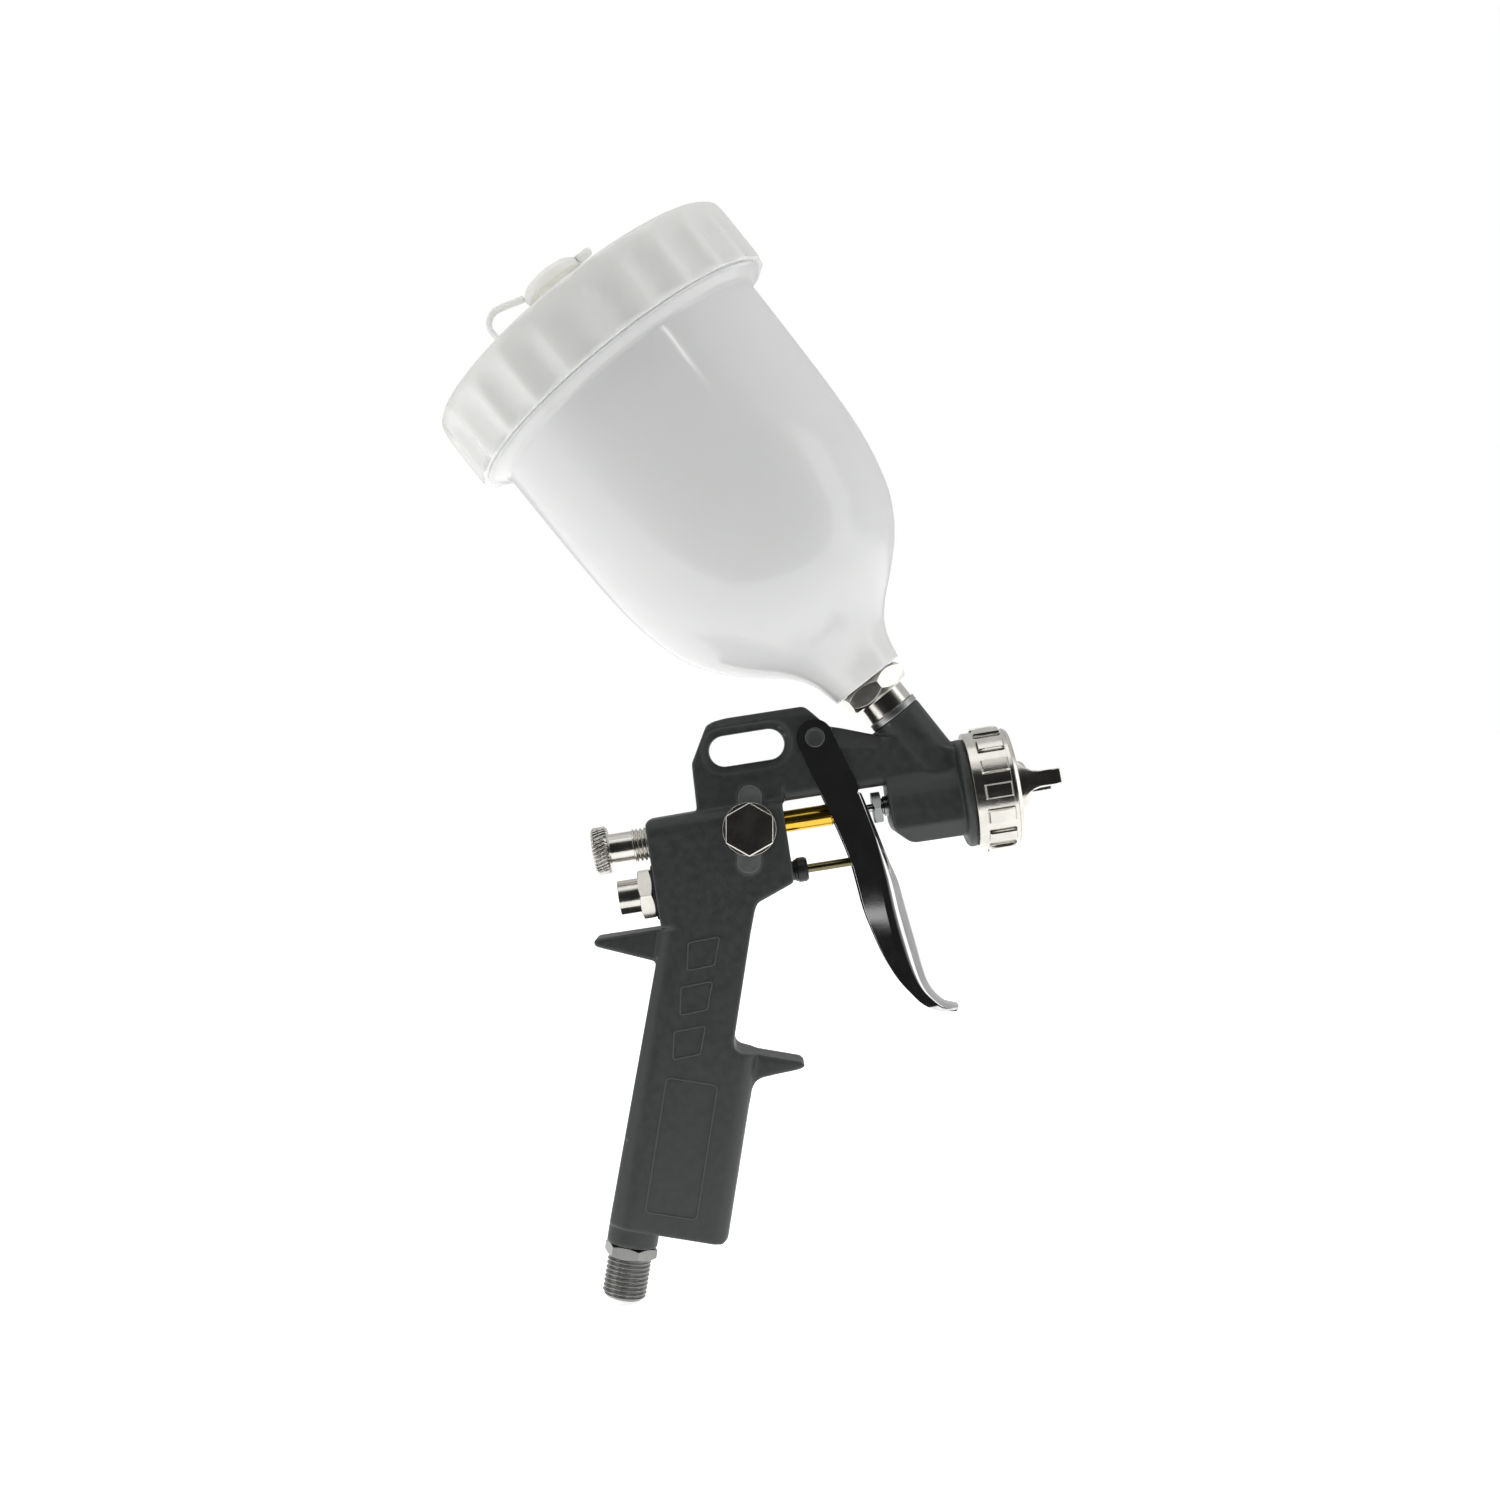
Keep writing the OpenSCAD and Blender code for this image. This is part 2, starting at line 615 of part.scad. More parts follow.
// ---------- front ----------
module fluid_nozzle() {
    color("#bdbcb8") on_nose() difference() {
        union() {
            rod(61, 70.5, 5.5);
            along_x(70.4 + eps) hex_bar(13, 4);
            taper(74.3, 79.6, 5.2, 2.2);
            rod(79.6 - eps, 82.2, 1.9);
        }
        rod(60, 74, 3);
        taper(74 - eps, 81, 3, 0.75);
        rod(80.9, 84, 0.75);
    }
}
module air_baffle() {
    color("#d8c48a") on_nose() difference() {
        rod(76.1, 77.1, 14);
        rod(75, 78, 7.7);
        for (k = [0:11]) rotate_x(30 * k) at_datum() translate([75, 0, 11]) rotate([0, 90, 0])
            cylinder(h = 3, r = 1.2);
    }
}
module horn() {
    intersection() {
        along_x(79) linear_extrude(height = 16) translate([0, 8.6]) square([20, 9], center = true);
        // seen from the side: a swept skirt that narrows to the tip
        at_datum() rotate([90, 0, 0]) linear_extrude(height = 40, center = true)
            polygon([
                [79, -9], [81, -8.3], [82.6, -6], [84.2, -4.1], [86.1, -2.85], [88.2, -2.4], [94.3, -2.3],
                [94.3, 2.3], [88.2, 2.4], [86.1, 2.85], [84.2, 4.1], [82.6, 6], [81, 8.3], [79, 9]
            ]);
        // clear of the ring's lip
        rod(78, 96, 12.95);
        // seen from above: a sloped inner face towards the jet
        at_datum() linear_extrude(height = 40, center = true)
            polygon([[79, 3], [84, 6.6], [90, 8.4], [94.3, 9.6], [94.3, 12.6], [86, 12.9], [79, 13]]);
    }
}
module air_cap() {
    color("#8b8b87") on_nose() difference() {
        union() {
            rod(77.2, 79.1, 14.2);
            rod(79.1 - eps, 80.9, 13);
            taper(80.9 - eps, 81.4, 13, 12.2);
            rod(81.3, 84.4, 7);
            taper(84.4 - eps, 85.4, 7, 6.4);
            taper(85.4 - eps, 86.1, 6.4, 5);
            for (a = [0, 180]) rotate_x(a + horn_roll) horn();
        }
        taper(76, 80.6, 12.4, 5);
        rod(80.6 - eps, 90, 2.2);
        // jets beside the centre hole and in the horns
        for (a = [0:45:315]) rotate_x(a) at_datum() translate([79, 0, 4.6]) rotate([0, 90, 0])
            cylinder(h = 8, r = 0.35);
        for (a = [0, 180]) rotate_x(a + horn_roll) at_datum() {
            translate([78.5, 10.6, 0]) rotate([0, 90, 0]) cylinder(h = 13.6, r = 0.9);
            translate([91, 10.6, 0]) rotate([90, 0, 0]) rotate([0, 25, 0]) cylinder(h = 6, r = 0.6);
        }
    }
}
module ring_pad() {
    at_datum() translate([75.1, 0, ring_r + 0.1]) cube([8.2, 4.2, 2], center = true);
}
module retaining_ring() {
    color("#c4c2b8") on_nose() difference() {
        union() {
            taper(68.1, 68.4, ring_r - 0.3, ring_r);
            rod(68.4 - eps, 80.6, ring_r);
            taper(80.6 - eps, 81.7, ring_r, ring_r - 1.2);
            for (k = [0:ring_pads - 1]) rotate_x(90 + 360 * k / ring_pads) ring_pad();
        }
        rod(67, 77.1, 15.4);
        rod(77.1 - eps, 79.2, 14.3);
        rod(79.2 - eps, 83, 13.1);
    }
}

// ---------- cup ----------
module cup_connector() {
    color("#b9b8b2") on_cup_axis() difference() {
        union() {
            translate([0, 0, -25]) cylinder(h = 13.5 + eps, r = 6);
            translate([0, 0, -11.5]) cylinder(h = 6, r = 7.4);
            translate([0, 0, -5.9]) rotate([0, 0, 30]) hex_bar(19, 5.6);
            translate([0, 0, -0.4]) cylinder(h = 9.4, r = 8);
        }
        translate([0, 0, -29]) cylinder(h = 40, r = 4.4);
    }
}
module neck_washer() {
    color("#a8a8a6") on_cup_axis() difference() {
        translate([0, 0, -13.5 + eps]) cylinder(h = 2 - 2 * eps, r = 8);
        translate([0, 0, -14]) cylinder(h = 4, r = 6.05);
    }
}
module cup_strainer() {
    color("#e6e2cf") on_cup_axis() difference() {
        union() {
            translate([0, 0, 9.1]) cylinder(h = 1, r = 7.6);
            translate([0, 0, 10]) cylinder(h = 17, r1 = 6.4, r2 = 4);
        }
        translate([0, 0, 9]) cylinder(h = 1.1, r = 5.7);
        translate([0, 0, 10]) cylinder(h = 16, r1 = 5.6, r2 = 3.2);
        // slots let the paint through
        for (a = [0:45:135]) rotate([0, 0, a]) translate([0, 0, 18]) cube([20, 1.4, 10], center = true);
    }
}
// Outline of the cup: [height up the axis, radius] from the neck to the shoulder
cup_outline = [
    [0, 11.6], [5.6, 12.8], [8.6, 13.9], [11.6, 15.6], [14.6, 18.2], [17.4, 21.1], [20, 24.2], [25, 29.7],
    [29.8, 34], [35.3, 37.7], [41.2, 40.5], [47.7, 42.4], [55, 43.9], [63, 44.9], [75, 45.6]
];
module cup_turn(shrink, z0, z1, foot) {
    rotate_extrude() polygon(concat(
        [[0, foot]],
        [for (p = cup_outline) if (p[0] >= z0) [p[1] - shrink, max(p[0], foot)]],
        [[cup_r - shrink, z1], [0, z1]]
    ));
}
module paint_cup() {
    color("#e9e9e6") on_cup_axis() difference() {
        union() {
            cup_turn(0, 0, cup_h - 3, 0);
            translate([0, 0, cup_h - 3.6]) cylinder(h = 0.8, r1 = cup_r, r2 = 48.6);
            translate([0, 0, cup_h - 2.9]) cylinder(h = 2.8, r = 51);
            translate([0, 0, cup_h - 1]) cylinder(h = lid_h - 3.1, r = cup_r + 2.2);
        }
        cup_turn(cup_wall, 13, cup_h - 8, 11);
        translate([0, 0, cup_h - 8.1]) cylinder(h = lid_h + 8, r = cup_r - cup_wall);
        translate([0, 0, -1]) cylinder(h = 10.1, r = 8 + run);
        translate([0, 0, 9 - eps]) cylinder(h = 5, r = 7.7);
    }
}
module cup_lid() {
    color("#e7e7e4") on_cup_axis() difference() {
        union() {
            translate([0, 0, cup_h]) cylinder(h = lid_h - 1.2, r = lid_r);
            translate([0, 0, cup_h + lid_h - 1.2 - eps]) cylinder(h = 1.2, r1 = lid_r, r2 = lid_r - 1.2);
        }
        translate([0, 0, cup_h - 1]) cylinder(h = lid_h - 1.8, r = cup_r + 3);
        for (k = [0:lid_flutes - 1]) rotate([0, 0, 360 * k / lid_flutes])
            translate([lid_r + 4.4, 0, cup_h - 1]) cylinder(h = lid_h - 2.5, r = 5.8);
        translate([vent_x, vent_y, cup_h + 10]) cylinder(h = 40, r = 4);
    }
}
module lid_gasket() {
    color("#f2f1ec") on_cup_axis() translate([0, 0, cup_h + lid_h - 4]) difference() {
        cylinder(h = 1.1, r = cup_r + 2);
        translate([0, 0, -1]) cylinder(h = 4, r = cup_r - 4);
    }
}
lid_top = cup_h + lid_h;
vent_x = -1;
vent_y = -20;
module on_lid() { on_cup_axis() translate([vent_x, vent_y, lid_top]) children(); }
module vent_plug() {
    color("#ecebdc") on_lid() {
        translate([0, 0, -4]) cylinder(h = 4.2, r = 3.9);
        translate([0, 0, 0.1]) cylinder(h = 9, r1 = 6.4, r2 = 7);
        translate([0, 0, 8.4]) cylinder(h = 2.8, r = 9.8);
        translate([0, 0, 11.2 - eps]) cylinder(h = 1.3, r1 = 9.8, r2 = 8);
        translate([0, 0, 12.5 - 2 * eps]) cylinder(h = 0.8, r1 = 8, r2 = 5.4);
        rotate([90, 0, 0]) linear_extrude(height = 6.4, center = true)
            polygon([[6, 8.5], [11, 8.5], [14.6, 9.8], [14.2, 10.9], [10.6, 10.6], [6, 10.6]]);
    }
}
// Strap that ties the plug to the lid: a foot, a hoop and a tongue towards the plug
strap_path = [
    [-10.9, 10.4], [-14.5, 11.6], [-18.2, 12.4], [-20.7, 11.7], [-22.4, 9.9], [-22.7, 7.4], [-22.2, 3],
    [-21.3, 0.9], [-19.5, 0.9]
];
module vent_strap() {
    color("#ecebdc") on_lid() rotate([90, 0, 0]) linear_extrude(height = 6, center = true)
        for (k = [1:len(strap_path) - 1]) hull() for (p = [strap_path[k - 1], strap_path[k]])
            translate(p) circle(r = 0.8, $fn = 24);
}

gun_body();
inlet_fitting();
air_valve_cap();
air_valve_gasket();
air_valve_spring();
valve_poppet();
valve_seal();
valve_stem();
stem_packing();
stem_gland();
fluid_needle();
needle_sleeve();
sleeve_nut();
needle_spring();
spring_washer();
fluid_knob();
needle_packing();
needle_packing_nut();
fan_plug();
fan_plug_washer();
fan_bush();
fan_o_ring();
fan_knob();
fan_valve_needle();
trigger();
trigger_pin();
pin_circlip();
fluid_nozzle();
air_baffle();
air_cap();
retaining_ring();
cup_connector();
neck_washer();
cup_strainer();
paint_cup();
cup_lid();
lid_gasket();
vent_plug();
vent_strap();
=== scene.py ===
"""Gravity-feed spray gun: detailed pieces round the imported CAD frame, materials, and a studio.

Everything is in metres in the CAD's row frame. Pieces are drawn in millimetres in the gun frame,
whose origin is where the fan valve's cross axis meets the needle axis, and a place matrix puts
them in the row frame.
"""
import json
import math

import bmesh
import bpy
from mathutils import Matrix, Vector


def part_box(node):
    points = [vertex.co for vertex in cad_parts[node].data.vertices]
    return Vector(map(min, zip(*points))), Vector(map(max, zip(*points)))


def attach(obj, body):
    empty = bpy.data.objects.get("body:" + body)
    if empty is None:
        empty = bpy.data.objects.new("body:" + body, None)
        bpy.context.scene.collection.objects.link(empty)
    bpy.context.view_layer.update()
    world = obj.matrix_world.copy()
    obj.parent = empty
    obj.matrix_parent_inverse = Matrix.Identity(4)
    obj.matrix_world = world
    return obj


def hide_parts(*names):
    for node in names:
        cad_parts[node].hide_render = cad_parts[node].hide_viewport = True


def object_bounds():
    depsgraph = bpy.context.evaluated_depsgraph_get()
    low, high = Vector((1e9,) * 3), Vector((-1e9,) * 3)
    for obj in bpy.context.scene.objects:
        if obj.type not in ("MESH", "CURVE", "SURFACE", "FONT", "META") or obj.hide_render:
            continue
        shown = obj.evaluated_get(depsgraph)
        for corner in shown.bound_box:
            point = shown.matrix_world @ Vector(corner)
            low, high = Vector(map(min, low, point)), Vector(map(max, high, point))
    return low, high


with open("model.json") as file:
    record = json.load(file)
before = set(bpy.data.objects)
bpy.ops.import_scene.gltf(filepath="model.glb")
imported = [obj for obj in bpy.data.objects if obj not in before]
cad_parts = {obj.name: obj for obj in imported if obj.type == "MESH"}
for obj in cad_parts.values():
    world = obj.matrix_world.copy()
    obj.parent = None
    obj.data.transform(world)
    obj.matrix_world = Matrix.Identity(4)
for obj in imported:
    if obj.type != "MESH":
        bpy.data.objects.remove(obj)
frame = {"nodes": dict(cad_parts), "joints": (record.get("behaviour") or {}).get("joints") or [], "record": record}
cad_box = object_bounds()

MM = 0.001
JOINT = {j["name"]: j for j in frame["joints"]}
INLET = next(m for m in frame["record"]["mounts"] if m["name"] == "air_inlet")
FAN_AXIS = JOINT["fan_knob_turn"]["pos_m"]
DATUM = Vector((FAN_AXIS[0], 0, FAN_AXIS[2])) / MM
CUP_UP = Vector(JOINT["lid_lift"]["axis"]).normalized()
RAKE = math.asin(-INLET["axis"][0])


def box_mm(node):
    """Lowest and highest corner of a CAD node in the gun frame, in millimetres."""
    low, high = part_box(node)
    return low / MM - DATUM, high / MM - DATUM


def mid_mm(node):
    low, high = box_mm(node)
    return (low + high) / 2


# ---------- places: each turns a piece's own millimetres into the row frame ----------
def place(origin, z_dir, x_dir):
    """Matrix whose local Z and X run along two directions of the gun frame, from a point of it."""
    z = Vector(z_dir).normalized()
    x = Vector(x_dir)
    x = (x - z * x.dot(z)).normalized()
    y = z.cross(x)
    spot = (Vector(origin) + DATUM) * MM
    rows = [(x[k] * MM, y[k] * MM, z[k] * MM, spot[k]) for k in range(3)]
    return Matrix(rows + [(0, 0, 0, 1)])


GUN = place((0, 0, 0), (0, 0, 1), (1, 0, 0))
NEEDLE = place((0, 0, 0), (1, 0, 0), (0, 0, 1))
VALVE_Z = mid_mm("valve_stem").z
VALVE = place((0, 0, VALVE_Z), (1, 0, 0), (0, 0, 1))
RIGHT = place((0, 0, 0), (0, -1, 0), (1, 0, 0))
LEFT = place((0, 0, 0), (0, 1, 0), (1, 0, 0))
PIVOT = Vector(JOINT["trigger_pull"]["pos_m"]) / MM - DATUM
PIVOT_RIGHT = place(PIVOT, (0, -1, 0), (1, 0, 0))
INLET_AT = Vector(INLET["pos_m"]) / MM - DATUM
INLET_DOWN = place(INLET_AT, INLET["axis"], (1, 0, 0))
WASHER_MID = 12.5  # the neck washer's middle is this far below the cup's lower end
CUP_FOOT = mid_mm("neck_washer") + CUP_UP * WASHER_MID
CUP = place(CUP_FOOT, CUP_UP, (1, 0, 0))


# ---------- materials ----------
def new_material(name, color, metallic=0.0, roughness=0.5, **sockets):
    mat = bpy.data.materials.new(name)
    mat.use_nodes = True
    shader = mat.node_tree.nodes["Principled BSDF"]
    shader.inputs["Base Color"].default_value = (*color, 1)
    shader.inputs["Metallic"].default_value = metallic
    shader.inputs["Roughness"].default_value = roughness
    for key, value in sockets.items():
        shader.inputs[key.replace("_", " ")].default_value = value
    return mat, mat.node_tree, shader


def node(tree, kind, **values):
    made = tree.nodes.new(kind)
    for key, value in values.items():
        if hasattr(made, key):
            setattr(made, key, value)
        else:
            made.inputs[key.replace("_", " ")].default_value = value
    return made


def noise(tree, scale, detail=3.0, roughness=0.5, stretch=(1, 1, 1)):
    """Object-space noise; scale is in features per metre."""
    where = node(tree, "ShaderNodeTexCoord")
    fit = node(tree, "ShaderNodeMapping", Scale=stretch)
    tree.links.new(where.outputs["Object"], fit.inputs["Vector"])
    made = node(tree, "ShaderNodeTexNoise", Scale=scale, Detail=detail, Roughness=roughness)
    tree.links.new(fit.outputs["Vector"], made.inputs["Vector"])
    return made.outputs["Fac"]


def ramp(tree, source, low, high, color_low, color_high):
    made = node(tree, "ShaderNodeValToRGB")
    made.color_ramp.elements[0].position = low
    made.color_ramp.elements[1].position = high
    made.color_ramp.elements[0].color = (*color_low, 1)
    made.color_ramp.elements[1].color = (*color_high, 1)
    tree.links.new(source, made.inputs["Fac"])
    return made.outputs["Color"]


def spread(tree, source, low, high):
    """Turns noise, which keeps near its middle, into a value between two numbers."""
    made = node(tree, "ShaderNodeMapRange", From_Min=0.3, From_Max=0.7, To_Min=low, To_Max=high)
    tree.links.new(source, made.inputs["Value"])
    return made.outputs["Result"]


def bump(tree, shader, height, strength, distance, below=None):
    made = node(tree, "ShaderNodeBump", Strength=strength, Distance=distance)
    tree.links.new(height, made.inputs["Height"])
    if below:
        tree.links.new(below, made.inputs["Normal"])
    tree.links.new(made.outputs["Normal"], shader.inputs["Normal"])
    return made.outputs["Normal"]


def metal(name, color, roughness, grain=0.0, grain_scale=3000, wear=0.0, smear=0.04):
    """Plated or turned metal: uneven roughness, a colour drift and, where asked, a grainy bump."""
    mat, tree, shader = new_material(name, color, metallic=1.0, roughness=roughness)
    cloudy = noise(tree, 160, detail=4)
    gloss = spread(tree, cloudy, roughness - smear, roughness + smear)
    tree.links.new(gloss, shader.inputs["Roughness"])
    dark = tuple(c * (0.86 - wear) for c in color)
    tree.links.new(ramp(tree, cloudy, 0.35, 0.62, dark, color), shader.inputs["Base Color"])
    if grain:
        bump(tree, shader, noise(tree, grain_scale, detail=2), grain, 0.00005)
    return mat


COAT = (0.0265, 0.0285, 0.0285)
COAT_DARK, COAT_PALE = (0.0230, 0.0250, 0.0250), (0.0300, 0.0322, 0.0316)
# painted highlight: the paler colour mixed onto the casting's sharp edges
COAT_EDGE_HIGHLIGHT = (0.085, 0.090, 0.090)


def cast_material(name, lift=1.0):
    """Charcoal powder coat: pebbled bump, mottled gloss, and a painted highlight, a paler line along sharp edges.
    """
    mat, tree, shader = new_material(name, COAT, roughness=0.5)
    mottle = noise(tree, 420, detail=5)
    shades = [tuple(c * lift for c in shade) for shade in (COAT_DARK, COAT_PALE)]
    base = ramp(tree, mottle, 0.35, 0.65, *shades)
    # painted highlight: where pointiness is high, on sharp edges, the colour turns paler
    ridge = node(tree, "ShaderNodeNewGeometry")
    edge_highlight = node(tree, "ShaderNodeMapRange", From_Min=0.51, From_Max=0.64)
    tree.links.new(ridge.outputs["Pointiness"], edge_highlight.inputs["Value"])
    mix = node(tree, "ShaderNodeMix", data_type="RGBA")
    tree.links.new(edge_highlight.outputs["Result"], mix.inputs["Factor"])
    tree.links.new(base, mix.inputs["A"])
    mix.inputs["B"].default_value = (*COAT_EDGE_HIGHLIGHT, 1)
    tree.links.new(mix.outputs["Result"], shader.inputs["Base Color"])
    tree.links.new(spread(tree, mottle, 0.42, 0.54), shader.inputs["Roughness"])
    pebbles = bump(tree, shader, noise(tree, 2600, detail=2), 0.45, 0.00006)
    bump(tree, shader, noise(tree, 320, detail=3), 0.25, 0.00012, below=pebbles)
    return mat


MOTTLE = 0.012  # how much darker the cloudy patches of a plastic are


def plastic(name, color, roughness, scatter, tint=None):
    """Milky polyethylene: light scatters inside it."""
    mat, tree, shader = new_material(name, color, roughness=roughness)
    shader.inputs["Subsurface Weight"].default_value = scatter
    shader.inputs["Subsurface Radius"].default_value = (1.0, 0.95, 0.9)
    shader.inputs["Subsurface Scale"].default_value = 0.004
    shader.inputs["IOR"].default_value = 1.5
    cloudy = noise(tree, 18, detail=3)
    low = tuple(max(0, c - MOTTLE) for c in (tint or color))
    tree.links.new(ramp(tree, cloudy, 0.3, 0.7, low, color), shader.inputs["Base Color"])
    gloss = spread(tree, cloudy, roughness - 0.015, roughness + 0.02)
    tree.links.new(gloss, shader.inputs["Roughness"])
    bump(tree, shader, noise(tree, 700, detail=2), 0.035, 0.00005)
    return mat


def dull(name, color, roughness, grain_scale=1500):
    mat, tree, shader = new_material(name, color, roughness=roughness)
    patchy = noise(tree, 300, detail=4)
    low = tuple(c * 0.8 for c in color)
    tree.links.new(ramp(tree, patchy, 0.3, 0.7, low, color), shader.inputs["Base Color"])
    bump(tree, shader, noise(tree, grain_scale, detail=2), 0.3, 0.00005)
    return mat


MATERIAL = {
    "cast_body": cast_material("cast_powder_coat"),
    "nickel_plate": metal("nickel_plate", (0.70, 0.68, 0.63), 0.19, grain=0.3, grain_scale=1500),
    "trigger_chrome": metal("trigger_chrome", (0.62, 0.62, 0.62), 0.05, grain=0.02, smear=0.015),
    "dull_steel": metal("dull_steel", (0.31, 0.31, 0.30), 0.27, grain=0.2),
    "needle_steel": metal("needle_steel", (0.62, 0.62, 0.61), 0.16),
    "stem_steel": metal("stem_steel", (0.20, 0.18, 0.10), 0.22, grain=0.1, wear=0.25),
    "spring_steel": metal("spring_steel", (0.46, 0.46, 0.47), 0.3),
    "dark_zinc": metal("dark_zinc", (0.30, 0.31, 0.31), 0.25, grain=0.1),
    "pin_grey": metal("pin_grey", (0.16, 0.165, 0.165), 0.5, grain=0.4, grain_scale=1500),
    "black_oxide": dull("black_oxide", (0.012, 0.012, 0.013), 0.38),
    "brass": metal("brass", (0.74, 0.47, 0.06), 0.14, grain=0.08),
    "bare_aluminium": metal("bare_aluminium", (0.46, 0.46, 0.46), 0.38, grain=0.3),
    "black_rubber": dull("black_rubber", (0.012, 0.012, 0.012), 0.6),
    "ptfe": plastic("ptfe", (0.80, 0.80, 0.77), 0.4, 0.3),
    "cup_plastic": plastic("cup_plastic", (0.83, 0.83, 0.82), 0.13, 0.6),
    "lid_plastic": plastic("lid_plastic", (0.84, 0.84, 0.82), 0.16, 0.5),
    "vent_plastic": plastic("vent_plastic", (0.93, 0.93, 0.90), 0.3, 0.8, tint=(0.92, 0.91, 0.82)),
}
PALER_COAT = cast_material("cast_paler_coat", 2.9)  # the same coat, made 2.9 times paler, for the side pads

SLOT = {s["node"]: s["material_slot"] for s in frame["record"]["subparts"]}
for name, cad in frame["nodes"].items():
    cad.data.materials.clear()
    cad.data.materials.append(MATERIAL[SLOT[name]])


# ---------- mesh helpers ----------
def even(count, turn=0.0):
    return [2 * math.pi * k / count + turn for k in range(count)]


ROUND = even(96)


def rounded(points, radius, steps=4, closed=False):
    """A profile with its corners rounded; a point's third value overrides the radius."""
    out = []
    last = len(points)
    for k, point in enumerate(points):
        r = point[2] if len(point) > 2 else radius
        here = Vector(point[:2])
        if r <= 0 or (not closed and k in (0, last - 1)):
            out.append(tuple(here))
            continue
        before = Vector(points[k - 1][:2]) - here
        after = Vector(points[(k + 1) % last][:2]) - here
        turn = math.pi - before.angle(after)
        cut = min(r * math.tan(turn / 2), before.length * 0.45, after.length * 0.45)
        a, b = here + before.normalized() * cut, here + after.normalized() * cut
        for s in range(steps + 1):
            t = s / steps
            out.append(tuple(a * (1 - t) ** 2 + here * 2 * t * (1 - t) + b * t * t))
    return out


def spline(points, per=6):
    """Catmull-Rom curve through points of any length."""
    rows = [Vector(p) for p in points]
    out = []
    for k in range(len(rows) - 1):
        p0, p1, p2 = rows[max(k - 1, 0)], rows[k], rows[k + 1]
        p3 = rows[min(k + 2, len(rows) - 1)]
        for s in range(per):
            t = s / per
            out.append(0.5 * (2 * p1 + (p2 - p0) * t + (2 * p0 - 5 * p1 + 4 * p2 - p3) * t * t
                              + (3 * p1 - p0 - 3 * p2 + p3) * t ** 3))
    out.append(rows[-1])
    return out


def ends(pole, rim):
    """True if a profile closes on its axis with a flat face, which is then one polygon."""
    if callable(pole) or callable(rim):
        return False
    return abs(pole[1]) < 1e-6 and abs(pole[0] - rim[0]) < 1e-6


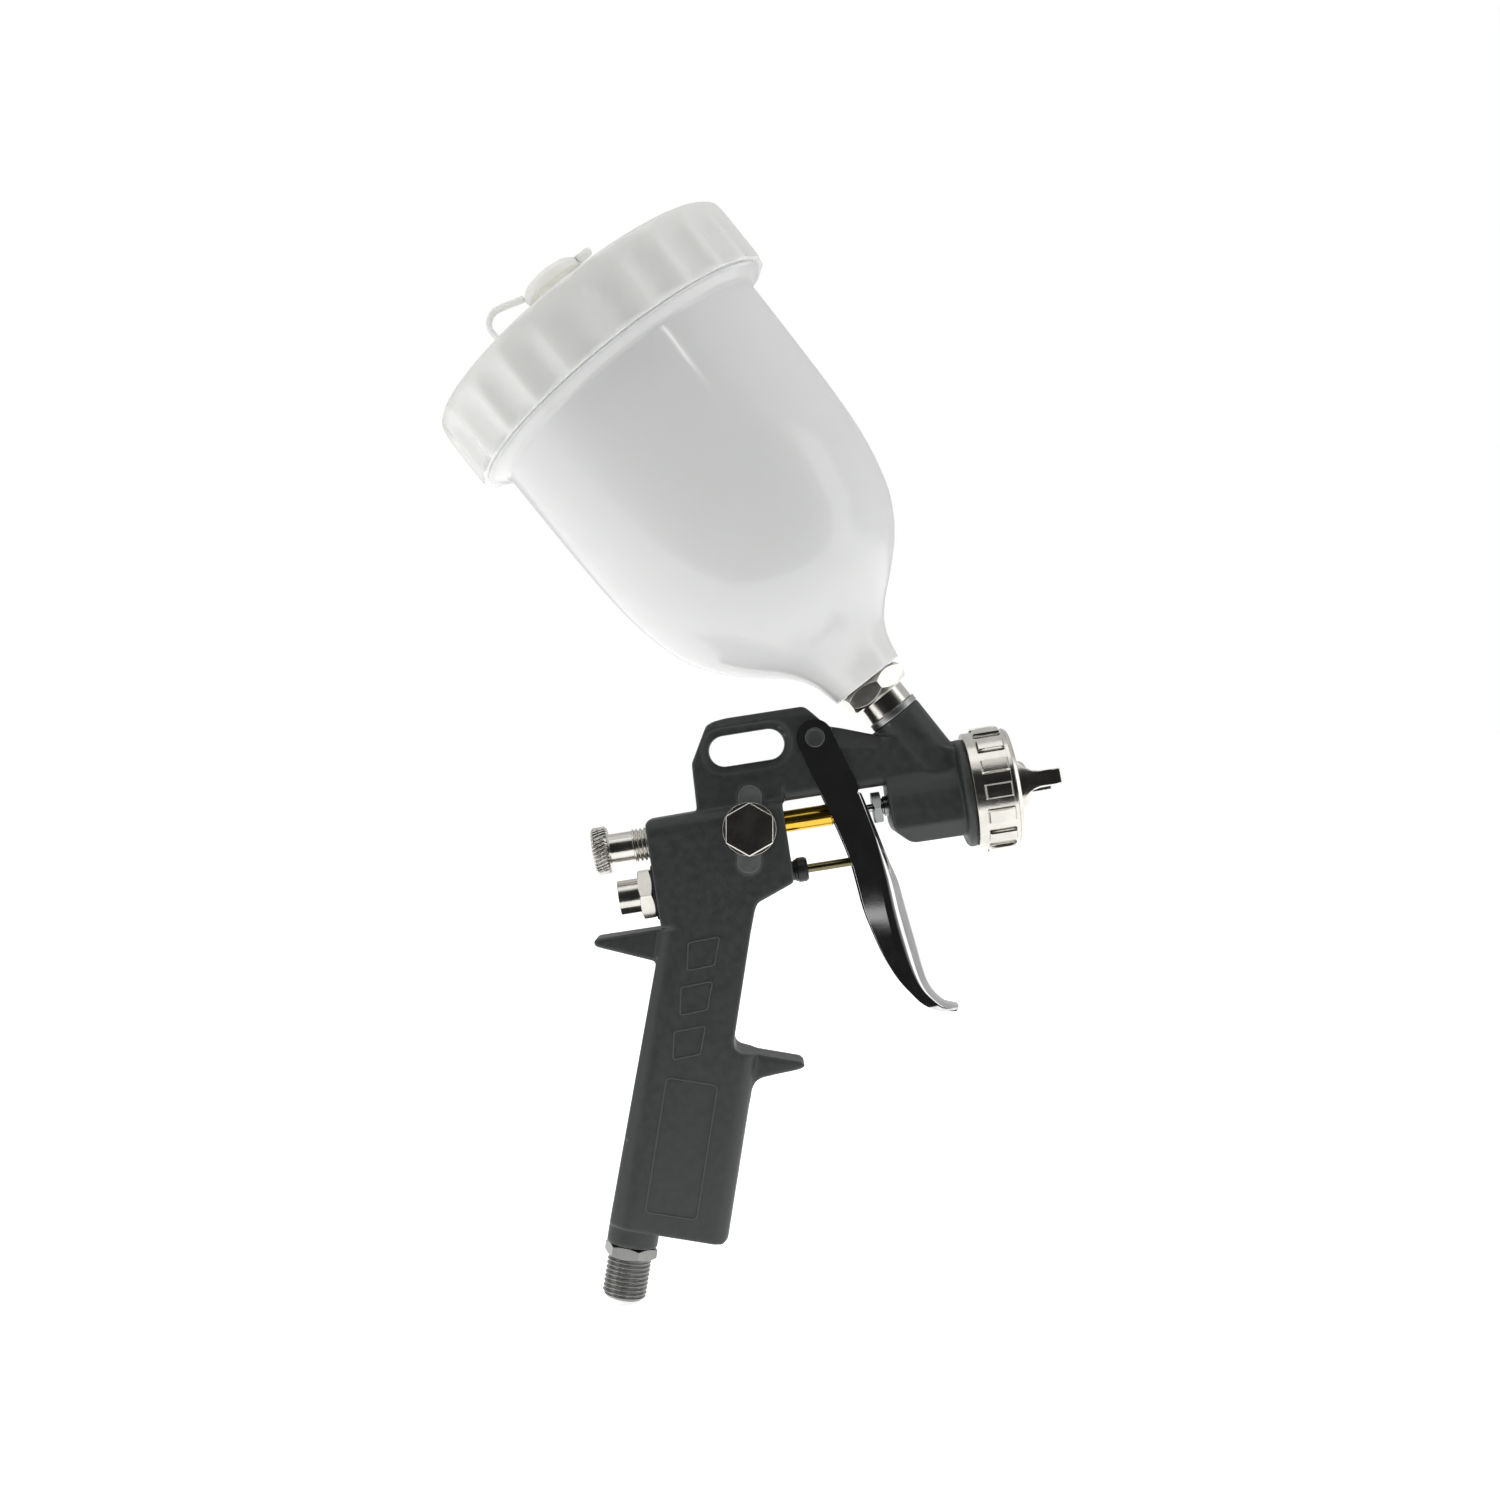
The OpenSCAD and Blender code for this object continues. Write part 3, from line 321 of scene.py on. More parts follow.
class Piece:
    """Shells and prisms gathered into one mesh object."""

    def __init__(self, name):
        self.name = name
        self.bm = bmesh.new()

    def grid(self, rows, wrap, loop=False):
        """Quads between rows of points; a row of one point closes to a fan."""
        made = [[self.bm.verts.new(p) for p in row] for row in rows]
        pairs = list(zip(made, made[1:])) + ([(made[-1], made[0])] if loop else [])
        for low, high in pairs:
            count = max(len(low), len(high))
            for k in range(count if wrap else count - 1):
                n = (k + 1) % count
                if len(low) == 1:
                    corners = (low[0], high[n], high[k])
                elif len(high) == 1:
                    corners = (low[k], low[n], high[0])
                else:
                    corners = (low[k], low[n], high[n], high[k])
                self.bm.faces.new(corners)
        return made

    def turned(self, at, loops, angles=ROUND, ring=False):
        """Solid of revolution. A loop is (z, r) or a function of the angle that gives (z, r)."""
        rows = []
        caps = [ends(loops[0], loops[1]), ends(loops[-1], loops[-2])]
        loops = loops[1 if caps[0] else 0:len(loops) - 1 if caps[1] else None]
        for loop in loops:
            if not callable(loop) and abs(loop[1]) < 1e-6:
                rows.append([at @ Vector((0, 0, loop[0]))])
                continue
            row = []
            for a in angles:
                z, r = loop(a) if callable(loop) else loop
                row.append(at @ Vector((r * math.cos(a), r * math.sin(a), z)))
            rows.append(row)
        made = self.grid(rows, wrap=True, loop=ring)
        if caps[0]:
            self.bm.faces.new(list(reversed(made[0])))
        if caps[1]:
            self.bm.faces.new(made[-1])
        return self

    def hexagon(self, at, flats, z0, z1, turn=0.0, chamfer=30, bore=0.0):
        """Hexagonal bar, both ends chamfered by a cone, with a hole through it if bore is given."""
        washer = flats / 2 * 0.985
        slope = math.tan(math.radians(chamfer))

        def edge(a):
            sixth = (a - turn) % (math.pi / 3) - math.pi / 6
            return flats / 2 / math.cos(sixth)

        loops = [
            (z0, washer), lambda a: (z0 + (edge(a) - washer) * slope, edge(a)),
            lambda a: (z1 - (edge(a) - washer) * slope, edge(a)), (z1, washer),
        ]
        angles = even(96, turn)
        if bore:
            return self.turned(at, [(z0, bore)] + loops + [(z1, bore)], angles=angles, ring=True)
        return self.turned(at, [(z0, 0)] + loops + [(z1, 0)], angles=angles)

    def thread(self, at, r, pitch, depth, z0, z1, chamfer=0.0, cap=True, per=10, bore=0.0):
        """Helical V thread of crest radius r, with a chamfer cone at its z1 end."""
        count = max(2, round((z1 - z0) / pitch * per))

        def row(z):
            def at_angle(a):
                phase = (z / pitch - a / (2 * math.pi)) % 1
                crest = min(1, max(0, (abs(2 * phase - 1) - 0.12) / 0.72))
                fade = min(1, (z - z0) / (0.7 * pitch))
                radius = r - depth * (1 - crest) * max(fade, 0)
                return z, min(radius, r - chamfer + (z1 - z)) if chamfer else radius
            return at_angle
        loops = [row(z0 + (z1 - z0) * k / count) for k in range(count + 1)]
        if bore:
            loops += [(z1, bore), (z0, bore)]
            return self.turned(at, loops, ring=True)
        if cap:
            loops = [(z0, 0)] + loops + [(z1, 0)]
        return self.turned(at, loops)

    def prism(self, at, outline, z0, z1):
        """Straight prism on an outline of (x, y) points."""
        rows = [[at @ Vector((x, y, z)) for x, y in outline] for z in (z0, z1)]
        low, high = self.grid(rows, wrap=True)
        self.bm.faces.new(list(reversed(low)))
        self.bm.faces.new(high)
        return self

    def tube(self, at, path, radius, sides=12, flat=1.0):
        """Round bar along a path of points; flat squeezes it along local Z."""
        points = [at @ Vector(p) for p in path]
        rows = []
        side = (at.to_3x3() @ Vector((0, 1, 0))).normalized()
        for k, point in enumerate(points):
            run = (points[min(k + 1, len(points) - 1)] - points[max(k - 1, 0)]).normalized()
            up = run.cross(side).normalized()
            section = [side * math.cos(a) * flat + up * math.sin(a) for a in even(sides)]
            rows.append([point + offset * radius * MM for offset in section])
        rows = [[points[0]]] + rows + [[points[-1]]]
        self.grid(rows, wrap=True)
        return self

    def mesh(self, weld=1e-7):
        bmesh.ops.remove_doubles(self.bm, verts=self.bm.verts, dist=weld)
        bmesh.ops.recalc_face_normals(self.bm, faces=self.bm.faces)
        mesh = bpy.data.meshes.new(self.name)
        self.bm.to_mesh(mesh)
        self.bm.free()
        return mesh

    def done(self, body, slot, replaces=(), weld=1e-7, **finish):
        return finish_piece(self.name, self.mesh(weld), body, slot, replaces, **finish)


def linked(name, data):
    obj = bpy.data.objects.new(name, data)
    bpy.context.scene.collection.objects.link(obj)
    return obj


def finish_piece(name, mesh, body, slot, replaces=(), bevel=0, steps=2, angle=24, thickness=0):
    """Adds a mesh to the model: its material, its bevel or sheet thickness, and its body."""
    mesh.shade_smooth()
    if bevel:
        mesh.set_sharp_from_angle(angle=math.radians(angle))
    obj = linked(name, mesh)
    obj.data.materials.clear()
    obj.data.materials.append(MATERIAL[slot])
    if thickness:
        shell = obj.modifiers.new("sheet", "SOLIDIFY")
        shell.thickness = thickness * MM
        shell.offset = -1
        shell.use_even_offset = True
    if bevel:
        edge = obj.modifiers.new("edges", "BEVEL")
        edge.width = bevel * MM
        edge.segments = steps
        edge.limit_method = "ANGLE"
        edge.angle_limit = math.radians(angle)
        edge.miter_outer = "MITER_ARC"
        even_out = obj.modifiers.new("shading", "WEIGHTED_NORMAL")
        even_out.keep_sharp = True
        even_out.weight = 95
    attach(obj, body)
    if replaces:
        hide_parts(*replaces)
    return obj


def applied(obj):
    """The object's mesh with its modifiers applied."""
    graph = bpy.context.evaluated_depsgraph_get()
    return bpy.data.meshes.new_from_object(obj.evaluated_get(graph))


def remeshed(cad_name, name, voxel, smooth, body, slot, flatten=None, keep=1.0):
    """A copy of a CAD node with the small rounded edges that casting and plating leave."""
    bm = bmesh.new()
    bm.from_mesh(frame["nodes"][cad_name].data)
    bmesh.ops.remove_doubles(bm, verts=bm.verts, dist=1e-6)
    if flatten:
        for v in bm.verts:
            flatten(v)
    mesh = bpy.data.meshes.new(name)
    bm.to_mesh(mesh)
    bm.free()
    work = linked(name + "_work", mesh)
    cells = work.modifiers.new("cells", "REMESH")
    cells.mode = "VOXEL"
    cells.voxel_size = voxel * MM
    soften = work.modifiers.new("soften", "SMOOTH")
    soften.factor = 0.5
    soften.iterations = smooth
    if keep < 1:
        thin = work.modifiers.new("thin", "DECIMATE")
        thin.ratio = keep
        settle = work.modifiers.new("settle", "SMOOTH")
        settle.factor = 0.5
        settle.iterations = 3
    result = applied(work)
    bpy.data.objects.remove(work)
    return finish_piece(name, result, body, slot, [cad_name])


# ---------- cast body ----------
BODY_HALF = 11.5  # half the casting's width
PAD_FOOT = -16  # the marks on the grip are all below this


def flatten_marks(v):
    """The grip's raised outlines are their own piece, so the casting is plain under them."""
    z = v.co.z / MM - DATUM.z
    y = v.co.y / MM
    if z < PAD_FOOT and abs(y) > BODY_HALF + 0.05:
        v.co.y = math.copysign(BODY_HALF, y) * MM


remeshed("gun_body", "casting", 0.45, 9, "gun", "cast_body", flatten=flatten_marks, keep=0.45)


def outline_strip(piece, at, corners, width, height):
    """Raised line round a closed outline, half-round in section."""
    loop = [Vector(c) for c in corners]
    count = len(loop)
    section = [(-1, -0.15), (-0.62, 0.72), (0, 1), (0.62, 0.72), (1, -0.15)]
    rows = []
    for across, up in section:
        row = []
        for k in range(count):
            into = (loop[k] - loop[k - 1]).normalized()
            out = (loop[(k + 1) % count] - loop[k]).normalized()
            n1, n2 = Vector((into.y, -into.x)), Vector((out.y, -out.x))
            mitre = (n1 + n2) / (1 + n1.dot(n2))
            spot = loop[k] + mitre * across * width / 2
            row.append(at @ Vector((spot.x, spot.y, up * height)))
        rows.append(row)
    piece.grid(rows, wrap=True)


def corner_points(corners, radius):
    return rounded(corners, radius, steps=4, closed=True)


MARK_TOP = (-23.0, -30.3)  # upper rear corner of the first small outline
MARK_STEP = (-4.1, -12.6)
MARK_SIZE = (9, 8)
MARK_LEAN = (0.2, 0.31)  # how far the rear and front lines run back for each mm down
PANEL = [(-12.6, 76), (2.6, 76), (2.6, 116), (-12.6, 116)]  # the long outline, along the grip
LINE_WIDTH = 0.6
MARK_HEIGHT, PANEL_HEIGHT = 0.36, 0.34
marks = Piece("grip_outlines")
for side in (-1, 1):
    flat_side = place((0, side * BODY_HALF, 0), (0, side, 0), (1, 0, 0))
    grip_side = place((0, side * BODY_HALF, 0), (0, side, 0), (math.cos(RAKE), 0, -math.sin(RAKE)))
    for n in range(3):
        x, z = MARK_TOP[0] + MARK_STEP[0] * n, MARK_TOP[1] + MARK_STEP[1] * n
        w, h = MARK_SIZE
        corners = [(x, z), (x + w + 0.4, z + 0.4), (x + w - MARK_LEAN[1] * h, z - h + 0.4),
                   (x - MARK_LEAN[0] * h, z - h)]
        corners = [(a, -side * b) for a, b in corners]
        outline_strip(marks, flat_side, corner_points(corners, 0.8), LINE_WIDTH, MARK_HEIGHT)
    panel = [(a, side * b) for a, b in PANEL]
    outline_strip(marks, grip_side, corner_points(panel, 1.5), LINE_WIDTH, PANEL_HEIGHT)
marks.done("gun", "cast_body")

# ---------- air side ----------
INLET_R = INLET["dims"]["r_mm"]
INLET_BORE = 4.6
PIPE_PITCH = 1.337  # 19 threads to the inch
inlet = Piece("inlet_fitting_turned")
inlet.thread(INLET_DOWN, INLET_R, PIPE_PITCH, 0.8, -6.3, 6.3, chamfer=1.2, bore=INLET_BORE, per=12)
inlet.hexagon(INLET_DOWN, 14, -9.7, -6.3, turn=math.radians(11), chamfer=26, bore=INLET_BORE)
inlet.turned(INLET_DOWN, rounded([
    (-6.6, 4.7), (-6.6, 6.1), (-5.9, 6.1), (-5.9, 4.7),
], 0.1, closed=True), ring=True)
inlet.done("gun", "dull_steel", ["inlet_fitting"], bevel=0.12, angle=35)

CAP_LOW, CAP_HIGH = box_mm("air_valve_cap")
GASKET_LOW, GASKET_HIGH = box_mm("air_valve_gasket")
cap_end, seat = CAP_LOW.x, GASKET_LOW.x
cap = Piece("air_valve_cap_turned")
cap.turned(VALVE, rounded([
    (cap_end + 0.3, 0), (cap_end + 0.3, 3.9, 0.3), (cap_end, 4.5, 0.3), (cap_end, 5.15, 0.7),
    (cap_end + 7.2, 5.15, 0.3), (cap_end + 7.2, 4.0), (cap_end + 7.2, 0),
], 0.2))
cap.hexagon(VALVE, 14, seat - 4.2, seat, turn=math.radians(30), chamfer=24)
cap.done("gun", "nickel_plate", ["air_valve_cap"], bevel=0.18)
Piece("air_valve_gasket_ring").turned(VALVE, rounded([
    (seat + 0.02, 5.5), (seat + 0.02, 8.2), (GASKET_HIGH.x, 8.2), (GASKET_HIGH.x, 5.5),
], 0.3, closed=True), ring=True).done("gun", "black_rubber", ["air_valve_gasket"])

gland_top = box_mm("stem_gland")[1].x
gland = Piece("stem_gland_turned")
gland.turned(VALVE, rounded([
    (gland_top - 9, 1.4), (gland_top - 9, 2.9), (gland_top - 4.0, 2.9), (gland_top - 4.0, 3.3),
    (gland_top - 3.3, 3.3), (gland_top - 3.1, 3.7), (gland_top - 0.9, 3.7),
    (gland_top - 0.15, 3.2), (gland_top, 2.6), (gland_top, 1.4),
], 0.25), ring=True)
gland.done("gun", "black_oxide", ["stem_gland"], bevel=0.1)


# ---------- fluid side ----------
def knurled(piece, at, r, z0, z1, count, depth, slant=0.35, edge=0.6):
    """Knurled drum with rounded ends: fine grooves that lean a little."""
    angles = even(count * 6)

    def groove(z):
        def at_angle(a):
            wave = abs(((a + slant * (z - z0) / r) * count / (2 * math.pi)) % 1 - 0.5) * 2
            return z, r - depth * (1 - min(1, wave * 1.6))
        return at_angle
    steps = 8
    loops = [(z0, 0), (z0, r * 0.55), (z0, r - edge - 0.4), (z0 + 0.12, r - edge)]
    loops += [groove(z0 + edge + (z1 - z0 - 2 * edge) * k / steps) for k in range(steps + 1)]
    loops += [(z1 - 0.12, r - edge), (z1, r - edge - 0.4), (z1, r * 0.55), (z1, 0)]
    piece.turned(at, loops, angles=angles)


KNOB_LOW, KNOB_HIGH = box_mm("fluid_knob")
KNOB_R = KNOB_HIGH.z
knob_back, knob_front = KNOB_LOW.x, KNOB_HIGH.x
knob = Piece("fluid_knob_knurled")
knurled(knob, NEEDLE, KNOB_R, knob_back, knob_back + 4.8, 36, 0.62)
knob.turned(NEEDLE, rounded([
    (knob_back + 4.5, 0), (knob_back + 4.5, 4.9), (knob_back + 5.2, 4.5), (knob_back + 12.2, 4.5),
    (knob_back + 12.4, 0),
], 0.25))
knob.thread(NEEDLE, 5.0, 1.25, 0.75, knob_back + 12.2, knob_front, per=12)
knob.done("fluid_knob", "nickel_plate", ["fluid_knob"], bevel=0.06)

SLEEVE_LOW, SLEEVE_HIGH = box_mm("needle_sleeve")
sleeve_r = SLEEVE_HIGH.z
nose = SLEEVE_HIGH.x
Piece("needle_sleeve_turned").turned(NEEDLE, rounded([
    (SLEEVE_LOW.x, 1.25), (SLEEVE_LOW.x, sleeve_r), (SLEEVE_LOW.x + 1.2, sleeve_r),
    (SLEEVE_LOW.x + 1.2, 3.25), (nose - 8.4, 3.25, 0.4), (nose - 7.7, 2.5, 0.3),
    (nose, 2.5, 0.5), (nose, 1.25),
], 0.15), ring=True).done("needle", "brass", ["needle_sleeve"])

NUT_LOW, NUT_HIGH = box_mm("needle_packing_nut")
NUT_BORE = 1.35
nut = Piece("packing_nut_hex")
nut.hexagon(NEEDLE, 9, NUT_LOW.x, NUT_LOW.x + 2.7, turn=math.radians(30), bore=NUT_BORE)
nut.turned(NEEDLE, rounded([
    (NUT_LOW.x + 2.5, NUT_BORE), (NUT_LOW.x + 2.5, 2.5), (NUT_LOW.x + 3.3, 2.5),
    (NUT_LOW.x + 3.4, 3.0), (NUT_HIGH.x, 3.0), (NUT_HIGH.x, NUT_BORE),
], 0.1), ring=True)
nut.done("gun", "dark_zinc", ["needle_packing_nut"], bevel=0.12)

# ---------- side plug, fan knob ----------
PLUG_LOW, PLUG_HIGH = box_mm("fan_plug")
plug_top = -PLUG_LOW.y
side_face = -box_mm("fan_plug_washer")[1].y
PLUG_R = 8.08  # over the hexagon's corners, which is 14 mm across its flats
PLUG_TURN = math.radians(21)
plug = Piece("side_plug_hex")
plug_corners = [(PLUG_R * math.cos(a), PLUG_R * math.sin(a)) for a in even(6, PLUG_TURN)]
plug.prism(RIGHT, plug_corners, side_face + 0.9, plug_top)
plug.done("gun", "nickel_plate", ["fan_plug"], bevel=0.5, steps=3)
flange = Piece("side_plug_flange")
flange.turned(RIGHT, rounded([
    (side_face + 0.5, 0), (side_face + 0.5, 7.9), (side_face + 1.1, 7.9), (side_face + 1.1, 0),
], 0.15))
flange.turned(RIGHT, [(6, 0), (6, 4.6), (side_face + 0.9, 4.6), (side_face + 0.9, 0)])
flange.done("gun", "nickel_plate", bevel=0.15)

PAD_LEAN = math.radians(10)
LOBE_R, LOBE_REACH = 3.55, 9.5  # round ends of the pad, above and below the plug
pads = Piece("plug_pads")
for side, at in ((1, RIGHT), (-1, LEFT)):
    along = Vector((math.sin(PAD_LEAN), side * math.cos(PAD_LEAN)))
    across = Vector((along.y, -along.x))
    outline = []
    for a in even(32):
        reach = LOBE_R * math.sin(a) + math.copysign(LOBE_REACH, math.sin(a))
        spot = across * LOBE_R * math.cos(a) + along * reach
        outline.append((spot.x, spot.y))
    pads.prism(at, outline, side_face - 0.6, side_face + 0.3)
# the side pads take the 2.9 times paler copy of the coat
pads.done("gun", "cast_body", bevel=0.4, steps=3).data.materials[0] = PALER_COAT

BUSH_HIGH = box_mm("fan_bush")[1].y
BUSH_BORE = 3.1
bush = Piece("fan_bush_hex")
bush.hexagon(LEFT, 14, side_face + 0.01, side_face + 4, bore=BUSH_BORE)
bush.turned(LEFT, rounded([
    (side_face + 3.9, BUSH_BORE), (side_face + 3.9, 5), (BUSH_HIGH, 5), (BUSH_HIGH, BUSH_BORE),
], 0.3, closed=True), ring=True)
bush.turned(LEFT, [
    (6, BUSH_BORE), (6, 4.6), (side_face + 0.2, 4.6), (side_face + 0.2, BUSH_BORE),
], ring=True)
bush.done("gun", "nickel_plate", ["fan_bush"], bevel=0.18)

FAN_LOW, FAN_HIGH = box_mm("fan_knob")
fan = Piece("fan_knob_knurled")
knurled(fan, LEFT, FAN_HIGH.z, FAN_LOW.y, FAN_HIGH.y, 52, 0.28)
fan.done("fan_knob", "nickel_plate", ["fan_knob"], bevel=0.06)

# ---------- trigger pin ----------
PIN_LOW, PIN_HIGH = box_mm("trigger_pin")
head_top = -PIN_LOW.y
head_r = PIN_HIGH.z - PIVOT.z
lathe_marks = [(head_top - (0.12 if k % 2 else 0.05), 0.5 + 0.3 * k) for k in range(6)]
pin = Piece("trigger_pin_head")
pin.turned(PIVOT_RIGHT, [(head_top - 0.25, 0)] + lathe_marks + rounded([
    (head_top - 0.05, 2.2), (head_top, 2.3), (head_top, head_r - 0.2, 0.1),
    (head_top - 0.2, head_r, 0.1), (head_top - 1.3, head_r), (head_top - 1.35, 1.9),
    (-PIN_HIGH.y, 1.9), (-PIN_HIGH.y, 0),
], 0.08))
pin.done("gun", "pin_grey", ["trigger_pin"])

# ---------- trigger ----------
SHEET = 1.5
CHEEK = 8.9  # half the width over the two cheeks
SLOT_HALF = 1.8
SLOT_FOOT = -18
EYE_R = 5.4
WEB_TOP = 5.2


def eye(angle):
    """Front and rear points of the round eye at the pivot, at the same height."""
    a = math.radians(angle)
    front = (PIVOT.x + EYE_R * math.cos(a), PIVOT.z + EYE_R * math.sin(a))
    return front, (2 * PIVOT.x - front[0], front[1])


# stations down the trigger: front of the web, front and rear edge of the cheek, each as x and z,
# and the half width
eye_rows = [(*eye(a)[0], *eye(a)[0], *eye(a)[1], CHEEK) for a in (82, 70, 58, 45, 30, 15, 4)]
arm_rows = [
    (29.35, 22, 29.35, 22, 18.15, 21.5, CHEEK), (31.8, 14, 31.8, 14, 20.5, 13.5, CHEEK),
    (33.7, 7.5, 33.7, 7.5, 22.5, 7.3, CHEEK), (34.4, WEB_TOP, 33.0, WEB_TOP, 23.1, WEB_TOP, CHEEK),
]
web_rows = [
    (34.4, WEB_TOP, 33.0, WEB_TOP, 23.1, WEB_TOP, CHEEK), (35.7, 0, 34.1, 0, 24.6, 0, CHEEK),
    (37.6, -8, 35.6, -8, 26.8, -8, CHEEK), (39.3, -15, 35.9, -15, 28.4, -15, CHEEK),
    (40.1, SLOT_FOOT, 35.9, SLOT_FOOT, 28.8, SLOT_FOOT, CHEEK),
    (41.4, -22.6, 35.8, -22.6, 29.3, -22.6, CHEEK),
    (42.6, -30, 35.9, -30, 30.1, -30, CHEEK), (43.6, -38, 36.6, -38, 31.9, -38, CHEEK),
    (44.5, -45, 38.0, -45, 34.0, -45.3, CHEEK), (45.1, -50, 39.9, -50.6, 36.5, -51, CHEEK),
    (45.9, -54.3, 42.3, -55.2, 39.9, -56.1, CHEEK), (47.4, -57.4, 45.0, -58.5, 42.6, -59.4, 8.8),
    (49.7, -60.1, 48.0, -61.4, 46.6, -62.0, 8.4), (51.8, -61.2, 51.0, -62.1, 50.4, -62.6, 7.6),
    (53.4, -61.8, 52.9, -62.2, 52.3, -62.8, 6.0),
]
# how deep the web's rounded corner is at each height
CORNER = [(WEB_TOP, 2.0), (0, 2.2), (-8, 2.6), (-15, 3.8), (-18, 4.8), (-23, 6.6), (-31, 8.4),
          (-80, 8.4)]


def corner_depth(z):
    for (z0, d0), (z1, d1) in zip(CORNER, CORNER[1:]):
        if z >= z1:
            return d0 + (d1 - d0) * min(1, max(0, (z0 - z) / (z0 - z1)))
    return CORNER[-1][1]


ARC = [math.cos(math.radians(a)) for a in (8, 16, 25, 34, 43, 52, 61, 70, 80, 90)]


def trigger_section(row, side, web):
    """Points of one side of the section, from the cheek's rear edge to the middle of the web."""
    fx, fz, cx, cz, rx, rz, half = row
    points = [Vector((rx, side * half, rz)), Vector((cx, side * half, cz))]
    if web:
        depth = min(corner_depth(fz), half - 0.3)
        for y in [SLOT_HALF + (half - SLOT_HALF) * c for c in ARC] + [1.2, 0.6, 0]:
            into = max(0, (y - (half - depth)) / depth)
            bulge = math.sqrt(max(0, 1 - into * into))
            points.append(Vector((cx + (fx - cx) * bulge, side * y, cz + (fz - cz) * bulge)))
    return points


def trigger():
    piece = Piece("trigger_stamping")
    fork = spline(eye_rows + arm_rows, per=3)
    web = spline(web_rows, per=3)
    for side in (-1, 1):
        piece.grid([[GUN @ p for p in trigger_section(r, side, False)] for r in fork], wrap=False)
        rows = [trigger_section(r, side, True) for r in web]
        made = piece.grid([[GUN @ p for p in row] for row in rows], wrap=False)
        inner = len(rows[0]) - 4
        gone = []
        for k in range(len(made) - 1):
            if rows[k + 1][inner].z >= SLOT_FOOT - 0.3:
                gone += [v for v in made[k][inner + 1:]]
        bmesh.ops.delete(piece.bm, geom=list(set(gone)), context="VERTS")
    piece.done("trigger", "trigger_chrome", ["trigger"], bevel=0.4, steps=3, angle=40,
               thickness=SHEET, weld=2e-5)


trigger()

# ---------- front: retaining ring, air cap ----------
RING_LOW, RING_HIGH = box_mm("retaining_ring")
ring_back, ring_front = RING_LOW.x, RING_HIGH.x
PADS = 15
PAD_GAP = 360 / PADS
PAD_LOW, PAD_HIGH = ring_back + 2.9, ring_back + 11.1
RING_R = 17.7
PAD_R = RING_HIGH.z - 0.1


def ring_angles():
    """Angles that fall on each pad's edges, so that the edges stay crisp."""
    marks = (-12, -9.5, -7.6, -7, -6.7, -5.6, -2.8, 0, 2.8, 5.6, 6.7, 7, 7.6, 9.5)
    return [math.radians(90 + PAD_GAP * k + m) for k in range(PADS) for m in marks]


def pad_at(z, lift):
    """Radius round the ring, raised on the pads; their edges take two short steps."""
    def at_angle(a):
        off = abs((math.degrees(a) - 90 + PAD_GAP / 2) % PAD_GAP - PAD_GAP / 2)
        share = 1 if off < 5.7 else 0.55 if off < 6.8 else 0
        return z, RING_R + (PAD_R - RING_R) * lift * share
    return at_angle


ring = Piece("retaining_ring_turned")
outer = [(ring_back, 15.4), (ring_back, RING_R - 0.45), (ring_back + 0.15, RING_R - 0.1),
         (ring_back + 0.4, RING_R)]
outer += [pad_at(PAD_LOW, 0), pad_at(PAD_LOW + 0.05, 0.55)]
outer += [pad_at(PAD_LOW + 0.5 + (PAD_HIGH - PAD_LOW - 1) * k / 4, 1) for k in range(5)]
outer += [pad_at(PAD_HIGH - 0.05, 0.55), pad_at(PAD_HIGH, 0)]
outer += rounded([
    (PAD_HIGH + 0.05, RING_R), (PAD_HIGH + 0.1, RING_R - 0.35), (ring_front - 1.35, RING_R - 0.35),
    (ring_front - 1.25, RING_R - 0.05, 0.3), (ring_front - 0.1, RING_R - 0.8, 0.5),
    (ring_front, 16.4, 0.3), (ring_front, 13.1, 0.2), (ring_front - 2.4, 13.1),
    (ring_front - 2.6, 14.3), (ring_front - 4.6, 14.3), (ring_front - 4.6, 15.4),
], 0.1)
ring.turned(NEEDLE, outer, angles=ring_angles(), ring=True)
ring.done("retaining_ring", "nickel_plate", ["retaining_ring"], bevel=0.07, angle=38)

remeshed("air_cap", "air_cap_soft", 0.2, 5, "air_cap", "nickel_plate")

# ---------- cup ----------
PAINT_BORE = 4.4
conn = Piece("cup_connector_turned")
conn.turned(CUP, rounded([
    (-24, PAINT_BORE), (-24, 6), (-11.6, 6), (-11.4, 7.4), (-6.4, 7.4), (-5.6, 8.6, 0.4),
    (-5.6, PAINT_BORE),
], 0.2), ring=True)
conn.hexagon(CUP, 19, -5.9, -0.3, turn=math.radians(36), chamfer=46, bore=PAINT_BORE)
conn.thread(CUP, 8, 1.5, 0.6, -0.4, 9, chamfer=0.8, bore=PAINT_BORE)
conn.done("gun", "nickel_plate", ["cup_connector"], bevel=0.25)
Piece("neck_washer_turned").turned(CUP, rounded([
    (-13.49, 6.05), (-13.49, 8.0), (-11.51, 8.0), (-11.51, 6.05),
], 0.25, closed=True), ring=True).done("gun", "bare_aluminium", ["neck_washer"])

